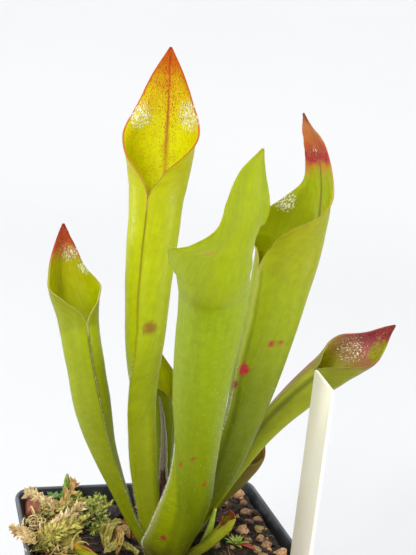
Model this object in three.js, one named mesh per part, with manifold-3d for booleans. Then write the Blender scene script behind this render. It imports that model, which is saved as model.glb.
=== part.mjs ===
// Rocket sun pitcher in a square pot: a clump of hooded pitcher leaves on a short crown,
// in black peat with pale grains, moss at one corner and a plastic plant label.
// Millimetres, +Z up, origin at the middle of the pot's base.

import * as THREE from 'three';
import { mergeVertices } from 'three/addons/utils/BufferGeometryUtils.js';
import Module from 'manifold-3d';

const wasm = await Module();
wasm.setup();

// Pot: a three-inch square nursery pot
const POT_HEIGHT = 72;
const POT_SIDE = 76;
const RIM_FOOT_SIDE = 73.2;
const BAND_SIDE = 72.4;
const WAIST_SIDE = 70;
const BASE_SIDE = 62;
const BAND_FOOT = 62;
const BAND_STEP = 0.6;
const POT_CORNER = 6;
const POT_WALL = 1.2;
const POT_FLOOR = 1.6;
const DRAIN_RADIUS = 3.5;
const DRAIN_PLACE = 19;

// Soil and crown
const SOIL_LEVEL = 65;
const SOIL_RISE = 4.6;
const SOIL_CELLS = 20;
const CLEARANCE = 0.3;
const CROWN_CENTRE = [2, 5, 55];
const CROWN_RADII = [9, 8, 5];

// Leaves
const LEAF_WALL = 0.9;
const SECTION_DEPTH = 0.9;
const KEEL_START = 0.72;
const KEEL_SHARPNESS = 1.5;

// Plant label: three and a quarter inches by five eighths
const LABEL_LENGTH = 83;
const LABEL_WIDTH = 16;
const LABEL_THICKNESS = 0.8;
const LABEL_TOP = 128.5;
const LABEL_POINT = 10;
const LABEL_PLACE = [31.2, -21.6];
const LABEL_TURN = -98;

// Corners of finished solids are set to this fraction of a millimetre
const GRID = 0.005;

const group = new THREE.Group();
const radians = THREE.MathUtils.degToRad;

function place(name, solid, colour, roughness, metalness = 0) {
  const material = new THREE.MeshStandardMaterial({ color: colour, roughness, metalness });
  const mesh = new THREE.Mesh(geometryOf(solid), material);
  mesh.name = name;
  group.add(mesh);
}

// Solids and geometries

function solidOf(geometry) {
  const bare = geometry.clone();
  bare.deleteAttribute('normal');
  bare.deleteAttribute('uv');
  const merged = mergeVertices(bare, 1e-4);
  const corners = merged.index.array;
  const kept = [];
  for (let i = 0; i < corners.length; i += 3) {
    const [a, b, c] = [corners[i], corners[i + 1], corners[i + 2]];
    if (a !== b && b !== c && c !== a) kept.push(a, b, c);
  }
  return new wasm.Manifold(new wasm.Mesh({
    numProp: 3,
    vertProperties: Float32Array.from(merged.attributes.position.array),
    triVerts: Uint32Array.from(kept),
  }));
}

// Faces that collapsed to a line, or that lie back to back, are left out
function soundFaces(corners) {
  const faces = new Map();
  for (let i = 0; i < corners.length; i += 3) {
    const face = [corners[i], corners[i + 1], corners[i + 2]];
    const key = [...face].sort((a, b) => a - b).join();
    if (new Set(face).size < 3) continue;
    if (faces.has(key)) faces.delete(key);
    else faces.set(key, face);
  }
  return [...faces.values()].flat();
}

// The finished geometry, with its corners on a fine grid so that cuts leave no slivers
function geometryOf(solid) {
  const mesh = solid.getMesh();
  const places = Float32Array.from(mesh.vertProperties, (v) => Math.round(v / GRID) * GRID);
  const cut = new THREE.BufferGeometry();
  cut.setAttribute('position', new THREE.BufferAttribute(places, 3));
  cut.setIndex(new THREE.BufferAttribute(mesh.triVerts, 1));
  const geometry = mergeVertices(cut, GRID / 5);
  geometry.setIndex(soundFaces(geometry.index.array));
  geometry.computeVertexNormals();
  return geometry;
}

function solidFromFaces(points, faces) {
  const geometry = new THREE.BufferGeometry();
  geometry.setAttribute('position', new THREE.Float32BufferAttribute(points.flat(), 3));
  geometry.setIndex(faces.flat());
  return solidOf(geometry);
}

// A skin over closed rings of equal count, counter-clockwise seen from the last ring
function ringSolid(rings) {
  const count = rings[0].length;
  const points = rings.flat();
  const faces = [];
  for (let row = 0; row + 1 < rings.length; row += 1) {
    for (let i = 0; i < count; i += 1) {
      const j = (i + 1) % count;
      const [a, b] = [row * count + i, row * count + j];
      const [c, d] = [a + count, b + count];
      faces.push([a, b, d], [a, d, c]);
    }
  }
  const cap = (ring, offset, flip) => {
    const centre = [0, 1, 2].map((k) => ring.reduce((sum, p) => sum + p[k], 0) / count);
    const hub = points.push(centre) - 1;
    for (let i = 0; i < count; i += 1) {
      const [a, b] = [offset + i, offset + ((i + 1) % count)];
      faces.push(flip ? [hub, b, a] : [hub, a, b]);
    }
  };
  cap(rings[0], 0, true);
  cap(rings[rings.length - 1], (rings.length - 1) * count, false);
  return solidFromFaces(points, faces);
}

function joined(solids) {
  return solids.reduce((whole, next) => whole.add(next));
}

function largestPiece(solid) {
  const pieces = solid.decompose();
  return pieces.reduce((best, next) => (next.volume() > best.volume() ? next : best));
}

// Seeded draws and smooth relief

function seededDraw(seed) {
  let state = seed;
  return (low = 0, high = 1) => {
    state = (state * 1664525 + 1013904223) % 4294967296;
    return low + (high - low) * (state / 4294967296);
  };
}

function ripple(x, y, size, phase) {
  const along = Math.sin(x / size + phase) * Math.cos(y / size - 1.7 * phase);
  return along + 0.6 * Math.sin((x + y) / (0.63 * size) + 2.3 * phase);
}

// Pot

function roundedSquare(side, corner, z, perCorner = 6) {
  const ring = [];
  const inner = side / 2 - corner;
  for (let quarter = 0; quarter < 4; quarter += 1) {
    const cx = inner * (quarter === 0 || quarter === 3 ? 1 : -1);
    const cy = inner * (quarter < 2 ? 1 : -1);
    for (let i = 0; i < perCorner; i += 1) {
      const angle = (quarter + i / (perCorner - 1)) * (Math.PI / 2);
      ring.push([cx + corner * Math.cos(angle), cy + corner * Math.sin(angle), z]);
    }
  }
  return ring;
}

function potShell(grow = 0) {
  const outer = [
    [0, BASE_SIDE],
    [BAND_FOOT, WAIST_SIDE],
    [BAND_FOOT + BAND_STEP, BAND_SIDE],
    [POT_HEIGHT - 2.2, RIM_FOOT_SIDE],
    [POT_HEIGHT - 1.7, POT_SIDE],
    [POT_HEIGHT - 0.6, POT_SIDE],
    [POT_HEIGHT, POT_SIDE - 1.2],
  ];
  const inner = [
    [POT_HEIGHT, POT_SIDE - 3.4],
    [POT_HEIGHT - 1, RIM_FOOT_SIDE - 2 * POT_WALL],
    [BAND_FOOT + BAND_STEP, BAND_SIDE - 2 * POT_WALL],
    [BAND_FOOT, WAIST_SIDE - 2 * POT_WALL],
    [POT_FLOOR, BASE_SIDE - 2 * POT_WALL],
  ];
  const lift = ([z, side], sign) => {
    const level = z === POT_HEIGHT ? z + grow : z;
    return roundedSquare(side + 2 * sign * grow, POT_CORNER + sign * grow, level);
  };
  return ringSolid([...outer.map((row) => lift(row, 1)), ...inner.map((row) => lift(row, -1))]);
}

function pot() {
  let shell = potShell();
  for (const [sx, sy] of [[1, 1], [1, -1], [-1, 1], [-1, -1]]) {
    const hole = new THREE.CylinderGeometry(DRAIN_RADIUS, DRAIN_RADIUS, 4 * POT_FLOOR, 12);
    hole.rotateX(Math.PI / 2);
    hole.translate(sx * DRAIN_PLACE, sy * DRAIN_PLACE, 0);
    shell = shell.subtract(solidOf(hole));
  }
  return shell;
}

// Soil

// Peat lower under the moss at the left, and filled almost to the rim at the right
function soilHeight(x, y) {
  const heap = 1.6 * Math.exp(-((x + 16) ** 2 + (y - 20) ** 2) / 260);
  const collar = 0.9 * Math.exp(-((x - 1) ** 2 + (y - 5) ** 2) / 160);
  const fill = SOIL_RISE * THREE.MathUtils.smoothstep(x, 0, 26);
  const crumbs = 0.34 * ripple(x, y, 3.1, 0.4) + 0.24 * ripple(y, x, 1.9, 2.1);
  return SOIL_LEVEL + heap + collar + fill + crumbs;
}

// The room inside the pot's wall, from the floor up past the rim
function potInside() {
  const inside = 2 * POT_WALL + 2 * CLEARANCE;
  return ringSolid([
    roundedSquare(BASE_SIDE - inside, POT_CORNER, POT_FLOOR + CLEARANCE),
    roundedSquare(WAIST_SIDE - inside, POT_CORNER, BAND_FOOT + CLEARANCE),
    roundedSquare(BAND_SIDE - inside, POT_CORNER, BAND_FOOT + BAND_STEP + CLEARANCE),
    roundedSquare(BAND_SIDE - inside, POT_CORNER, POT_HEIGHT + 14),
  ]);
}

// A square block under the soil's relief; raised, it trims what lies on the soil
function soilBlock(raise = 0) {
  const half = BAND_SIDE / 2;
  const cell = (2 * half) / SOIL_CELLS;
  const at = (i, j, z) => [i * cell - half, j * cell - half, z];
  const points = [];
  const faces = [];
  const index = (i, j) => i * (SOIL_CELLS + 1) + j;
  const layer = (SOIL_CELLS + 1) ** 2;
  for (let i = 0; i <= SOIL_CELLS; i += 1) {
    for (let j = 0; j <= SOIL_CELLS; j += 1) {
      const [x, y] = at(i, j, 0);
      points.push(at(i, j, soilHeight(x, y) + raise));
    }
  }
  points.push(...points.map(([x, y]) => [x, y, 0]));
  for (let i = 0; i < SOIL_CELLS; i += 1) {
    for (let j = 0; j < SOIL_CELLS; j += 1) {
      const [a, b, c, d] = [index(i, j), index(i + 1, j), index(i + 1, j + 1), index(i, j + 1)];
      faces.push([a, b, c], [a, c, d]);
      faces.push([a + layer, c + layer, b + layer], [a + layer, d + layer, c + layer]);
    }
    const sides = [
      [index(i, 0), index(i + 1, 0)],
      [index(SOIL_CELLS, i), index(SOIL_CELLS, i + 1)],
      [index(i + 1, SOIL_CELLS), index(i, SOIL_CELLS)],
      [index(0, i + 1), index(0, i)],
    ];
    for (const [a, b] of sides) faces.push([a, a + layer, b + layer], [a, b + layer, b]);
  }
  return solidFromFaces(points, faces);
}

// Pale and brick-coloured grains pressed into the peat, mostly at the right
const GRAINS = [
  [32, 29.6, 2.5], [29.4, 29.9, 1.2], [32.3, 25, 1.5], [25.3, 25.3, 1.5], [30.7, 18.4, 1.7],
  [32.4, 13.2, 1.6], [32.8, 19.4, 1.3], [26, 7.4, 2.3], [31.2, 7.7, 1.6], [29.9, 3.3, 1.7],
  [30.2, -1.2, 1.9], [26.6, -2.8, 1.7], [32.6, -6.2, 2], [25.7, 2.4, 1.3], [16.3, 3.6, 1.5],
  [29.2, 12.2, 1.4], [28.5, -9.5, 1.8], [19.5, -8, 1.9], [20.5, -17, 2.2],
];

function grain([x, y, radius], draw, grow) {
  const shape = new THREE.IcosahedronGeometry(radius + grow, 0);
  shape.scale(draw(0.85, 1.15), draw(0.8, 1.1), draw(0.6, 0.8));
  shape.rotateX(draw(-0.4, 0.4));
  shape.rotateZ(draw(0, Math.PI));
  shape.translate(x, y, soilHeight(x, y) + 0.18 * radius);
  return solidOf(shape);
}

function grains(grow = 0) {
  const draw = seededDraw(41);
  const spots = [...GRAINS];
  while (spots.length < 36) {
    const spot = [draw(-30, 31), draw(-31, 30), draw(0.9, 1.9)];
    const fromPlant = Math.hypot(spot[0] - 2, spot[1] - 4);
    const fromMoss = Math.hypot(spot[0] + 22, spot[1] - 22);
    if (fromPlant > 14 && fromMoss > 17) spots.push(spot);
  }
  return spots.map((spot) => grain(spot, draw, grow));
}

// Pitcher leaves: each row is a place on the midrib with x, y, z, half width,
// the compass bearing that the mouth faces, the half angle that the blade wraps
// (180 is a closed tube, less is the open hood) and the height of the keel or lip

const PITCHERS = [
  { name: 'pitcher_front', colour: '#9bb31c', hollowFrom: 3, rows: [
    [3.6, 3.4, 60.5, 2, 158, 180, 2.8],
    [5.4, 0.5, 66.5, 2.6, 160, 180, 7],
    [6.9, -4.2, 75.5, 3.3, 158, 180, 6.6],
    [8.6, -9.8, 88.5, 4.6, 150, 180, 4.4],
    [7.3, -14.2, 101, 5.7, 141, 180, 1.3],
    [6, -18.3, 111.5, 6.5, 135, 180, 0.6],
    [4.6, -22.6, 121.5, 7.3, 131, 180, 0.6],
    [2.8, -30.1, 138.7, 8.1, 126, 180, 0.6],
    [1.2, -36.8, 153.2, 8.6, 124, 180, 0.6],
    [-0.4, -41, 159, 8.9, 125, 161, 0.7],
    [-1.2, -41.8, 162.3, 9.3, 126, 131, 0.9],
    [-1.4, -42.2, 165.3, 9.9, 124, 101, 1],
    [-1.6, -42.7, 167.3, 8.4, 117, 72, 0.7],
    [-1.7, -43.2, 169.7, 6.4, 114, 50, 0.5],
    [-1.3, -43, 175, 5.2, 104, 37, 0.5],
    [-0.8, -42.3, 181.5, 3.3, 104, 41, 0],
    [0.2, -42, 186.9, 0.3, 112, 43, 0],
  ] },
  { name: 'pitcher_tall', colour: '#b3c41d', hollowFrom: 5, rows: [
    [0.4, 5.2, 60.5, 2.0, 215, 180, 0.4],
    [-0.2, 5.7, 70, 2.2, 203, 180, 1.2],
    [-1.0, 6.5, 82, 1.8, 188, 180, 3.4],
    [-2.1, 8.1, 91.5, 1.8, 185, 180, 4.4],
    [-2.9, 10.5, 102, 2.3, 190, 180, 4.0],
    [-3.5, 14, 111.5, 3.6, 212, 180, 2.7],
    [-3.9, 17.5, 121.5, 5.1, 230, 180, 0.9],
    [-3.5, 21, 137.5, 6.3, 234, 180, 0.6],
    [-2.7, 24, 152, 7.1, 236, 180, 0.5],
    [-2.1, 26, 162.5, 7.5, 238, 180, 0.4],
    [-1.8, 27.4, 167, 8.0, 241, 166, 0.8],
    [-1.7, 28.8, 172.5, 8.8, 243, 147, 1.3],
    [-1.8, 29.7, 179, 9.4, 245, 118, 1.2],
    [-1.9, 29.9, 185.5, 9.2, 246, 86, 0.9],
    [-2.3, 29.6, 192, 7.2, 245, 60, 0.4],
    [-2.8, 28.9, 199, 4.5, 244, 48, 0],
    [-3.5, 27.5, 206.2, 0.35, 243, 38, 0],
  ] },
  { name: 'pitcher_right', colour: '#94aa1e', hollowFrom: 3, rows: [
    [4.2, 5.4, 60.5, 1.7, 205, 180, 0.5],
    [8.2, 5.4, 69.5, 2.3, 206, 180, 1.2],
    [15.0, 6.2, 81.5, 3.5, 207, 180, 1.8],
    [20.7, 7.8, 91, 4.6, 206, 180, 1.8],
    [26.4, 10.5, 103, 5.6, 204, 180, 1.4],
    [31.5, 13.2, 117.5, 7.4, 202, 180, 0.9],
    [35.7, 15.1, 131, 8.3, 199, 180, 0.6],
    [39.3, 16.5, 143.2, 9.4, 193, 180, 0.3],
    [41.5, 17.3, 149.3, 10.2, 188, 153, 0.4],
    [42.8, 18.4, 155.5, 11.1, 188, 129, 0.6],
    [43.1, 19.4, 161, 11.8, 191, 103, 0.7],
    [43.2, 19.8, 167, 9.9, 196, 74, 1.0],
    [42.7, 20, 173, 6.1, 198, 44, 0.8],
    [41, 20.1, 180.2, 5.0, 197, 31, 0.3],
    [37.4, 19.9, 187.5, 3.5, 191, 27, 0.2],
    [33.8, 18.5, 192.1, 0.35, 182, 30, 0],
  ] },
  { name: 'pitcher_left', colour: '#8aa51f', hollowFrom: 4, rows: [
    [-0.9, 4.6, 60.5, 1.7, 302, 180, 0.3],
    [-4.6, 5.8, 69.5, 1.8, 299, 180, 0.5],
    [-9.2, 8, 77, 1.8, 296, 180, 1.0],
    [-13, 11, 84.7, 2.5, 293, 180, 1.6],
    [-17.5, 15, 94.8, 3.7, 289, 180, 1.6],
    [-21.1, 18, 105.7, 5.1, 287, 180, 1.2],
    [-24.3, 20.4, 120, 5.3, 286, 180, 0.6],
    [-26.1, 22.2, 128, 5.6, 287, 180, 0.3],
    [-27.1, 24.3, 132.7, 6.3, 288, 137, 0.4],
    [-28.3, 26.4, 137.8, 6.9, 288, 101, 0.7],
    [-29.3, 27.4, 143.7, 5.3, 287, 80, 0.4],
    [-29.6, 26.9, 150, 3.2, 284, 68, 0.2],
    [-30, 24.5, 156.8, 0.35, 278, 40, 0],
  ] },
  { name: 'pitcher_leaning', colour: '#8c9a2c', hollowFrom: 3, rows: [
    [5.6, 8.2, 60.5, 1.3, 196, 180, 0.3],
    [10.8, 10.4, 66, 1.7, 196, 180, 0.6],
    [18, 11.6, 77, 2.3, 196, 180, 1.0],
    [26, 13, 88.4, 2.9, 196, 180, 1.2],
    [34.6, 15, 98.2, 3.8, 198, 180, 1.4],
    [42.6, 16.2, 105.7, 4.7, 200, 180, 1.4],
    [50, 16.4, 112.5, 5.4, 200, 180, 0.9],
    [54.2, 16.2, 116, 5.9, 200, 148, 0.6],
    [57.7, 15.8, 119.4, 6.5, 203, 122, 0.3],
    [61, 15, 123.3, 6.3, 212, 102, 0.1],
    [64, 13.7, 127.4, 3.8, 227, 82, 0],
    [66.4, 12.5, 130.8, 1.7, 234, 60, 0],
    [68.3, 11.5, 133, 0.3, 238, 40, 0],
  ] },
  { name: 'pitcher_back', colour: '#8fa526', hollowFrom: 2, small: true, rows: [
    [1.8, 9.6, 60.5, 1.3, 285, 180, 0.3],
    [2.0, 15, 72, 1.7, 285, 180, 0.8],
    [2.6, 21.3, 83, 2.6, 285, 180, 0.8],
    [2.9, 26.3, 94, 3.4, 285, 180, 0.6],
    [2.6, 29.4, 103, 3.9, 284, 180, 0.4],
    [2.0, 31, 108.5, 4.4, 282, 136, 0.5],
    [1.3, 31.2, 113, 3.7, 280, 96, 0.3],
    [0.6, 29.8, 117, 2.1, 280, 70, 0.1],
    [0, 27.6, 120.5, 0.3, 280, 40, 0],
  ] },
  { name: 'pitcher_small_red', colour: '#8a6a34', hollowFrom: 2, small: true, rows: [
    [4.6, 10.6, 60.5, 1.1, 205, 180, 0.3],
    [14.6, 15, 69.5, 1.5, 205, 180, 0.5],
    [23, 17.5, 76, 2.0, 206, 180, 0.6],
    [29.2, 19.3, 81, 2.5, 207, 180, 0.4],
    [32.9, 20.7, 84.6, 2.7, 208, 132, 0.4],
    [35, 21.3, 88, 2.0, 208, 95, 0.2],
    [35.2, 21, 91, 0.3, 208, 45, 0],
  ] },
  { name: 'pitcher_young_right', colour: '#a9c12a', hollowFrom: 2, small: true, rows: [
    [5.4, 1.2, 60.5, 1, 206, 180, 0.2],
    [8.5, -0.8, 68.6, 1.4, 206, 180, 0.3],
    [13.5, -0.3, 71.6, 1.6, 206, 180, 0.3],
    [17.9, 1.1, 74.4, 1.9, 206, 180, 0.3],
    [19.4, 1.5, 76, 2.1, 207, 152, 0.3],
    [20.4, 2.2, 77.6, 2, 208, 112, 0.2],
    [20.2, 2.4, 79.2, 1.3, 208, 75, 0.1],
    [18.8, 2.2, 80.4, 0.3, 208, 50, 0],
  ] },
  { name: 'pitcher_young_left', colour: '#8fae24', hollowFrom: 2, small: true, rows: [
    [-2.2, 0.6, 60.5, 1, 395, 180, 0.2],
    [-11.7, -4.5, 66.6, 1.3, 385, 180, 0.2],
    [-17.6, -4.9, 68.2, 1.4, 365, 180, 0.2],
    [-21.3, -3.3, 69.8, 1.5, 342, 180, 0.2],
    [-23.6, -1.7, 71.4, 1.5, 325, 140, 0.2],
    [-24.8, -0.4, 72.8, 1.2, 312, 95, 0.1],
    [-25.4, 0.4, 74.2, 0.3, 304, 50, 0],
  ] },
];

// Smooth curve through values at uneven stations
function smooth(stations, values, at) {
  const last = stations.length - 1;
  const slope = (i) => {
    if (i === 0) return (values[1] - values[0]) / (stations[1] - stations[0]);
    if (i === last) return (values[last] - values[last - 1]) / (stations[last] - stations[last - 1]);
    const before = stations[i] - stations[i - 1];
    const after = stations[i + 1] - stations[i];
    const rise = ((values[i] - values[i - 1]) / before) * after;
    return (rise + ((values[i + 1] - values[i]) / after) * before) / (before + after);
  };
  let i = 0;
  while (i < last - 1 && at > stations[i + 1]) i += 1;
  const span = stations[i + 1] - stations[i];
  const u = (at - stations[i]) / span;
  const [u2, u3] = [u * u, u * u * u];
  return (2 * u3 - 3 * u2 + 1) * values[i] + (u3 - 2 * u2 + u) * span * slope(i)
    + (3 * u2 - 2 * u3) * values[i + 1] + (u3 - u2) * span * slope(i + 1);
}

// The midrib's length, and its place, frame and section at any length along it
function leafCurve(rows) {
  const lengths = [0];
  for (let i = 1; i < rows.length; i += 1) {
    const [a, b] = [rows[i - 1], rows[i]];
    lengths.push(lengths[i - 1] + Math.hypot(b[0] - a[0], b[1] - a[1], b[2] - a[2]));
  }
  const total = lengths[lengths.length - 1];
  const column = (k) => rows.map((row) => row[k]);
  const value = (k, s) => smooth(lengths, column(k), s);
  const point = (s) => new THREE.Vector3(value(0, s), value(1, s), value(2, s));
  const closedRows = rows.filter((row) => row[5] === 180).length;
  const mouth = lengths[closedRows - 1];
  const section = (s) => {
    const step = 0.2;
    const along = point(Math.min(s + step, total)).sub(point(Math.max(s - step, 0))).normalize();
    const bearing = radians(value(4, s));
    const back = new THREE.Vector3(-Math.cos(bearing), -Math.sin(bearing), 0);
    back.addScaledVector(along, -back.dot(along)).normalize();
    const side = new THREE.Vector3().crossVectors(back, along);
    const open = s <= mouth ? Math.PI : radians(THREE.MathUtils.clamp(value(5, s), 3, 180));
    const halfWidth = Math.max(value(3, s), 0.2) / Math.sin(Math.min(open, Math.PI / 2));
    return { middle: point(s), back, side, open, halfWidth, lip: Math.max(value(6, s), 0) };
  };
  return { lengths, total, mouth, section };
}

// Where a row of the blade lies, across and deep, with the wall's inset
function leafProfile({ open, halfWidth, lip }, columns, inset, lipShare) {
  const depth = halfWidth * SECTION_DEPTH;
  const thick = Math.min(inset, 0.6 * depth);
  return columns.map((t) => {
    const angle = open * t;
    const edge = Math.max((Math.abs(t) - KEEL_START) / (1 - KEEL_START), 0) ** KEEL_SHARPNESS;
    const reach = lip * lipShare * edge;
    const across = (halfWidth - thick) * Math.sin(angle)
      + reach * Math.sin(open) * Math.sign(t);
    const deep = (depth - thick) * Math.cos(angle) - depth + reach * Math.cos(open);
    return Math.abs(t) === 1 && open === Math.PI ? [0, deep] : [across, deep];
  });
}

// One row of points across the blade
function leafRow(curve, s, columns, inset = 0, lipShare = 1) {
  const section = curve.section(s);
  return leafProfile(section, columns, inset, lipShare).map(([across, deep]) => (
    section.middle.clone().addScaledVector(section.side, across)
      .addScaledVector(section.back, deep).toArray()));
}

// A closed profile moved outwards by a distance, corner by corner
function widened(profile, distance) {
  const count = profile.length;
  return profile.map(([x, y], i) => {
    const [px, py] = profile[(i + count - 1) % count];
    const [nx, ny] = profile[(i + 1) % count];
    const before = new THREE.Vector2(y - py, px - x).normalize();
    const after = new THREE.Vector2(ny - y, x - nx).normalize();
    const outward = before.clone().add(after).normalize();
    const shift = distance / Math.max(outward.dot(after), 0.5);
    return [x - outward.x * shift, y - outward.y * shift];
  });
}

function stepsBetween(from, to, size) {
  const count = Math.max(Math.round((to - from) / size), 1);
  return Array.from({ length: count }, (_, i) => from + ((to - from) * i) / count);
}

// The grid that a leaf is built on: columns across the blade, places along it
function leafGrid(plan) {
  const curve = leafCurve(plan.rows);
  const half = plan.small ? [0.2, 0.42, 0.64, 0.84, 1] : [0.15, 0.3, 0.45, 0.6, 0.74, 0.88, 1];
  const columns = [...half.map((t) => -t).reverse(), 0, ...half];
  const [tubeStep, hoodStep] = plan.small ? [7, 3.2] : [8, 3.6];
  const hollow = curve.lengths[plan.hollowFrom];
  const places = [
    ...stepsBetween(0, hollow, tubeStep),
    ...stepsBetween(hollow, curve.mouth, tubeStep),
    ...stepsBetween(curve.mouth, curve.total, hoodStep),
    curve.total,
  ];
  return { curve, columns, places, hollow };
}

// A rolled leaf: solid stalk, hollow tube, open hood drawn to a point
function leafSolid(plan) {
  const { curve, columns, places, hollow } = leafGrid(plan);
  const points = [];
  const faces = [];
  const addRow = (row) => row.map((p) => points.push(p) - 1);
  const outer = places.map((s) => addRow(leafRow(curve, s, columns)));
  const firstInner = places.indexOf(hollow);
  const lipShare = (s) => THREE.MathUtils.smoothstep(s, curve.mouth - 4, curve.mouth);
  const inner = places.slice(firstInner).map((s) => (
    addRow(leafRow(curve, s, columns, LEAF_WALL, lipShare(s)))));
  const skin = (rows, flip) => {
    for (let r = 0; r + 1 < rows.length; r += 1) {
      for (let c = 0; c + 1 < columns.length; c += 1) {
        const [a, b, d, e] = [rows[r][c], rows[r][c + 1], rows[r + 1][c + 1], rows[r + 1][c]];
        faces.push(flip ? [a, d, b] : [a, b, d], flip ? [a, e, d] : [a, d, e]);
      }
    }
  };
  const fan = (row, s, flip) => {
    const { middle, back, halfWidth } = curve.section(s);
    const hub = points.push(middle.clone().addScaledVector(back, -halfWidth * SECTION_DEPTH)
      .toArray()) - 1;
    for (let c = 0; c + 1 < columns.length; c += 1) {
      faces.push(flip ? [hub, row[c + 1], row[c]] : [hub, row[c], row[c + 1]]);
    }
  };
  const band = (outside, inside) => {
    for (let i = 0; i + 1 < outside.length; i += 1) {
      faces.push([outside[i], outside[i + 1], inside[i + 1]]);
      faces.push([outside[i], inside[i + 1], inside[i]]);
    }
  };
  skin(outer, true);
  skin(inner, false);
  fan(outer[0], 0, false);
  fan(inner[0], hollow, true);
  const mouthRow = places.indexOf(curve.mouth);
  const outerHood = outer.slice(mouthRow);
  const innerHood = inner.slice(mouthRow - firstInner);
  const lastColumn = columns.length - 1;
  band(outerHood.map((row) => row[0]).reverse(), innerHood.map((row) => row[0]).reverse());
  band(outerHood.map((row) => row[lastColumn]), innerHood.map((row) => row[lastColumn]));
  band([...outer[outer.length - 1]].reverse(), [...inner[inner.length - 1]].reverse());
  return solidFromFaces(points, faces);
}

// A leaf's filled tube, widened by the clearance, to cut room for it
function leafRoom(plan) {
  const { curve, columns, places } = leafGrid(plan);
  const rings = places.filter((s) => s <= curve.mouth).map((s) => {
    const { middle, side, back, ...shape } = curve.section(s);
    const profile = widened(leafProfile(shape, columns.slice(1), 0, 1), CLEARANCE + 0.1);
    return profile.map(([across, deep]) => (
      middle.clone().addScaledVector(side, across).addScaledVector(back, deep).toArray()));
  });
  rings[0] = rings[0].map(([x, y, z]) => [x, y, z - 2 * CLEARANCE]);
  return ringSolid(rings.map((ring) => [...ring].reverse()));
}

// Blades, strands and other small pieces

// A tapering three-sided spike along a list of points
function spike(path, radius) {
  const rings = path.slice(0, -1).map((centre, i) => {
    const along = path[i + 1].clone().sub(centre).normalize();
    const side = new THREE.Vector3(0.3, 0.2, 1).cross(along).normalize();
    const other = new THREE.Vector3().crossVectors(along, side);
    const size = radius * (1 - (0.55 * i) / (path.length - 1));
    return [0, 1, 2].map((k) => {
      const angle = (k * 2 * Math.PI) / 3;
      return centre.clone().addScaledVector(side, size * Math.cos(angle))
        .addScaledVector(other, size * Math.sin(angle)).toArray();
    });
  });
  const points = rings.flat();
  const tip = points.push(path[path.length - 1].toArray()) - 1;
  const faces = [[0, 2, 1]];
  for (let r = 0; r + 1 < rings.length; r += 1) {
    for (let k = 0; k < 3; k += 1) {
      const [a, b] = [3 * r + k, 3 * r + ((k + 1) % 3)];
      faces.push([a, b, b + 3], [a, b + 3, a + 3]);
    }
  }
  const top = 3 * (rings.length - 1);
  for (let k = 0; k < 3; k += 1) faces.push([top + k, top + ((k + 1) % 3), tip]);
  return solidFromFaces(points, faces);
}

// A bent strand that starts at a place, leans along a bearing and curls over
function strand(start, bearing, length, lean, curl, radius) {
  const path = [];
  const out = new THREE.Vector3(Math.cos(bearing), Math.sin(bearing), 0);
  for (let i = 0; i <= 2; i += 1) {
    const u = i / 2;
    const angle = lean + curl * u;
    const reach = length * u;
    path.push(start.clone().addScaledVector(out, reach * Math.sin(angle))
      .add(new THREE.Vector3(0, 0, reach * Math.cos(angle))));
  }
  return spike(path, radius);
}

function ellipsoid([x, y, z], [rx, ry, rz], detail = 1) {
  const shape = new THREE.IcosahedronGeometry(1, detail);
  shape.scale(rx, ry, rz);
  shape.translate(x, y, z);
  return solidOf(shape);
}

// A mound with strands standing out of it on all sides
function tuft({ seed, centre, radii, count, length, curl, radius }) {
  const draw = seededDraw(seed);
  const pieces = [ellipsoid(centre, radii)];
  for (let i = 0; i < count; i += 1) {
    const bearing = i * 2.399963 + draw(-0.3, 0.3);
    const out = Math.sqrt((i + 0.5) / count);
    const start = new THREE.Vector3(
      centre[0] + 0.85 * radii[0] * out * Math.cos(bearing),
      centre[1] + 0.85 * radii[1] * out * Math.sin(bearing),
      centre[2] + 0.7 * radii[2] * Math.sqrt(Math.max(1 - 0.75 * out * out, 0)),
    );
    const lean = 0.25 + 1.1 * out + draw(-0.3, 0.3);
    pieces.push(strand(start, bearing, draw(...length), lean, draw(-curl, curl), radius));
  }
  return joined(pieces);
}

// Each clump keeps to its own plot of the pot: lowest and highest x, y and z
const GREEN_MOSS = {
  seed: 7, centre: [-16.5, 26.5, 65.5], radii: [7, 7, 5.5], count: 34, length: [3.5, 6],
  curl: 0.5, radius: 0.75, plot: [[-25.4, 19.6, 60], [0, 40, 86]],
};
const GREEN_SPRAY = {
  seed: 11, centre: [-13.2, 30.8, 66], radii: [4.2, 3.2, 4], count: 10, length: [3, 5.5],
  curl: 0.5, radius: 0.7,
};
const DRY_MOSS_BACK = {
  seed: 38, centre: [-29, 27, 66.4], radii: [6, 6.5, 5.6], count: 22, length: [3.5, 6],
  curl: 1.6, radius: 0.8, plot: [[-40, 19.6, 60], [-25.7, 40, 84]],
};
const DRY_MOSS_FRONT = {
  seed: 29, centre: [-26, 12.5, 64.8], radii: [8.5, 5.5, 5.6], count: 30, length: [3, 5],
  curl: 1.6, radius: 0.8, plot: [[-40, 0, 60], [-15, 19.3, 71.2]],
};

function plotBlock([[x0, y0, z0], [x1, y1, z1]]) {
  const shape = new THREE.BoxGeometry(x1 - x0, y1 - y0, z1 - z0);
  shape.translate((x0 + x1) / 2, (y0 + y1) / 2, (z0 + z1) / 2);
  return solidOf(shape);
}

// What lies on the soil is trimmed to it and kept clear of the pot
function laidOnSoil(solid, raisedSoil) {
  return largestPiece(solid.subtract(raisedSoil).intersect(potInside()));
}

// A slender upright shoot with short leaves up its stem
function shoot(x, y, bottom, height) {
  const stem = spike([
    new THREE.Vector3(x, y, bottom),
    new THREE.Vector3(x + 0.3, y, bottom + 0.5 * height),
    new THREE.Vector3(x + 0.2, y, bottom + height),
  ], 0.9);
  const leaves = [];
  for (let i = 0; i < 9; i += 1) {
    const z = bottom + height * (0.2 + 0.075 * i);
    leaves.push(strand(new THREE.Vector3(x + 0.2, y, z), i * 2.4, 2.6, 0.5, 0.3, 0.5));
  }
  return joined([stem, ...leaves]);
}

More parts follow.
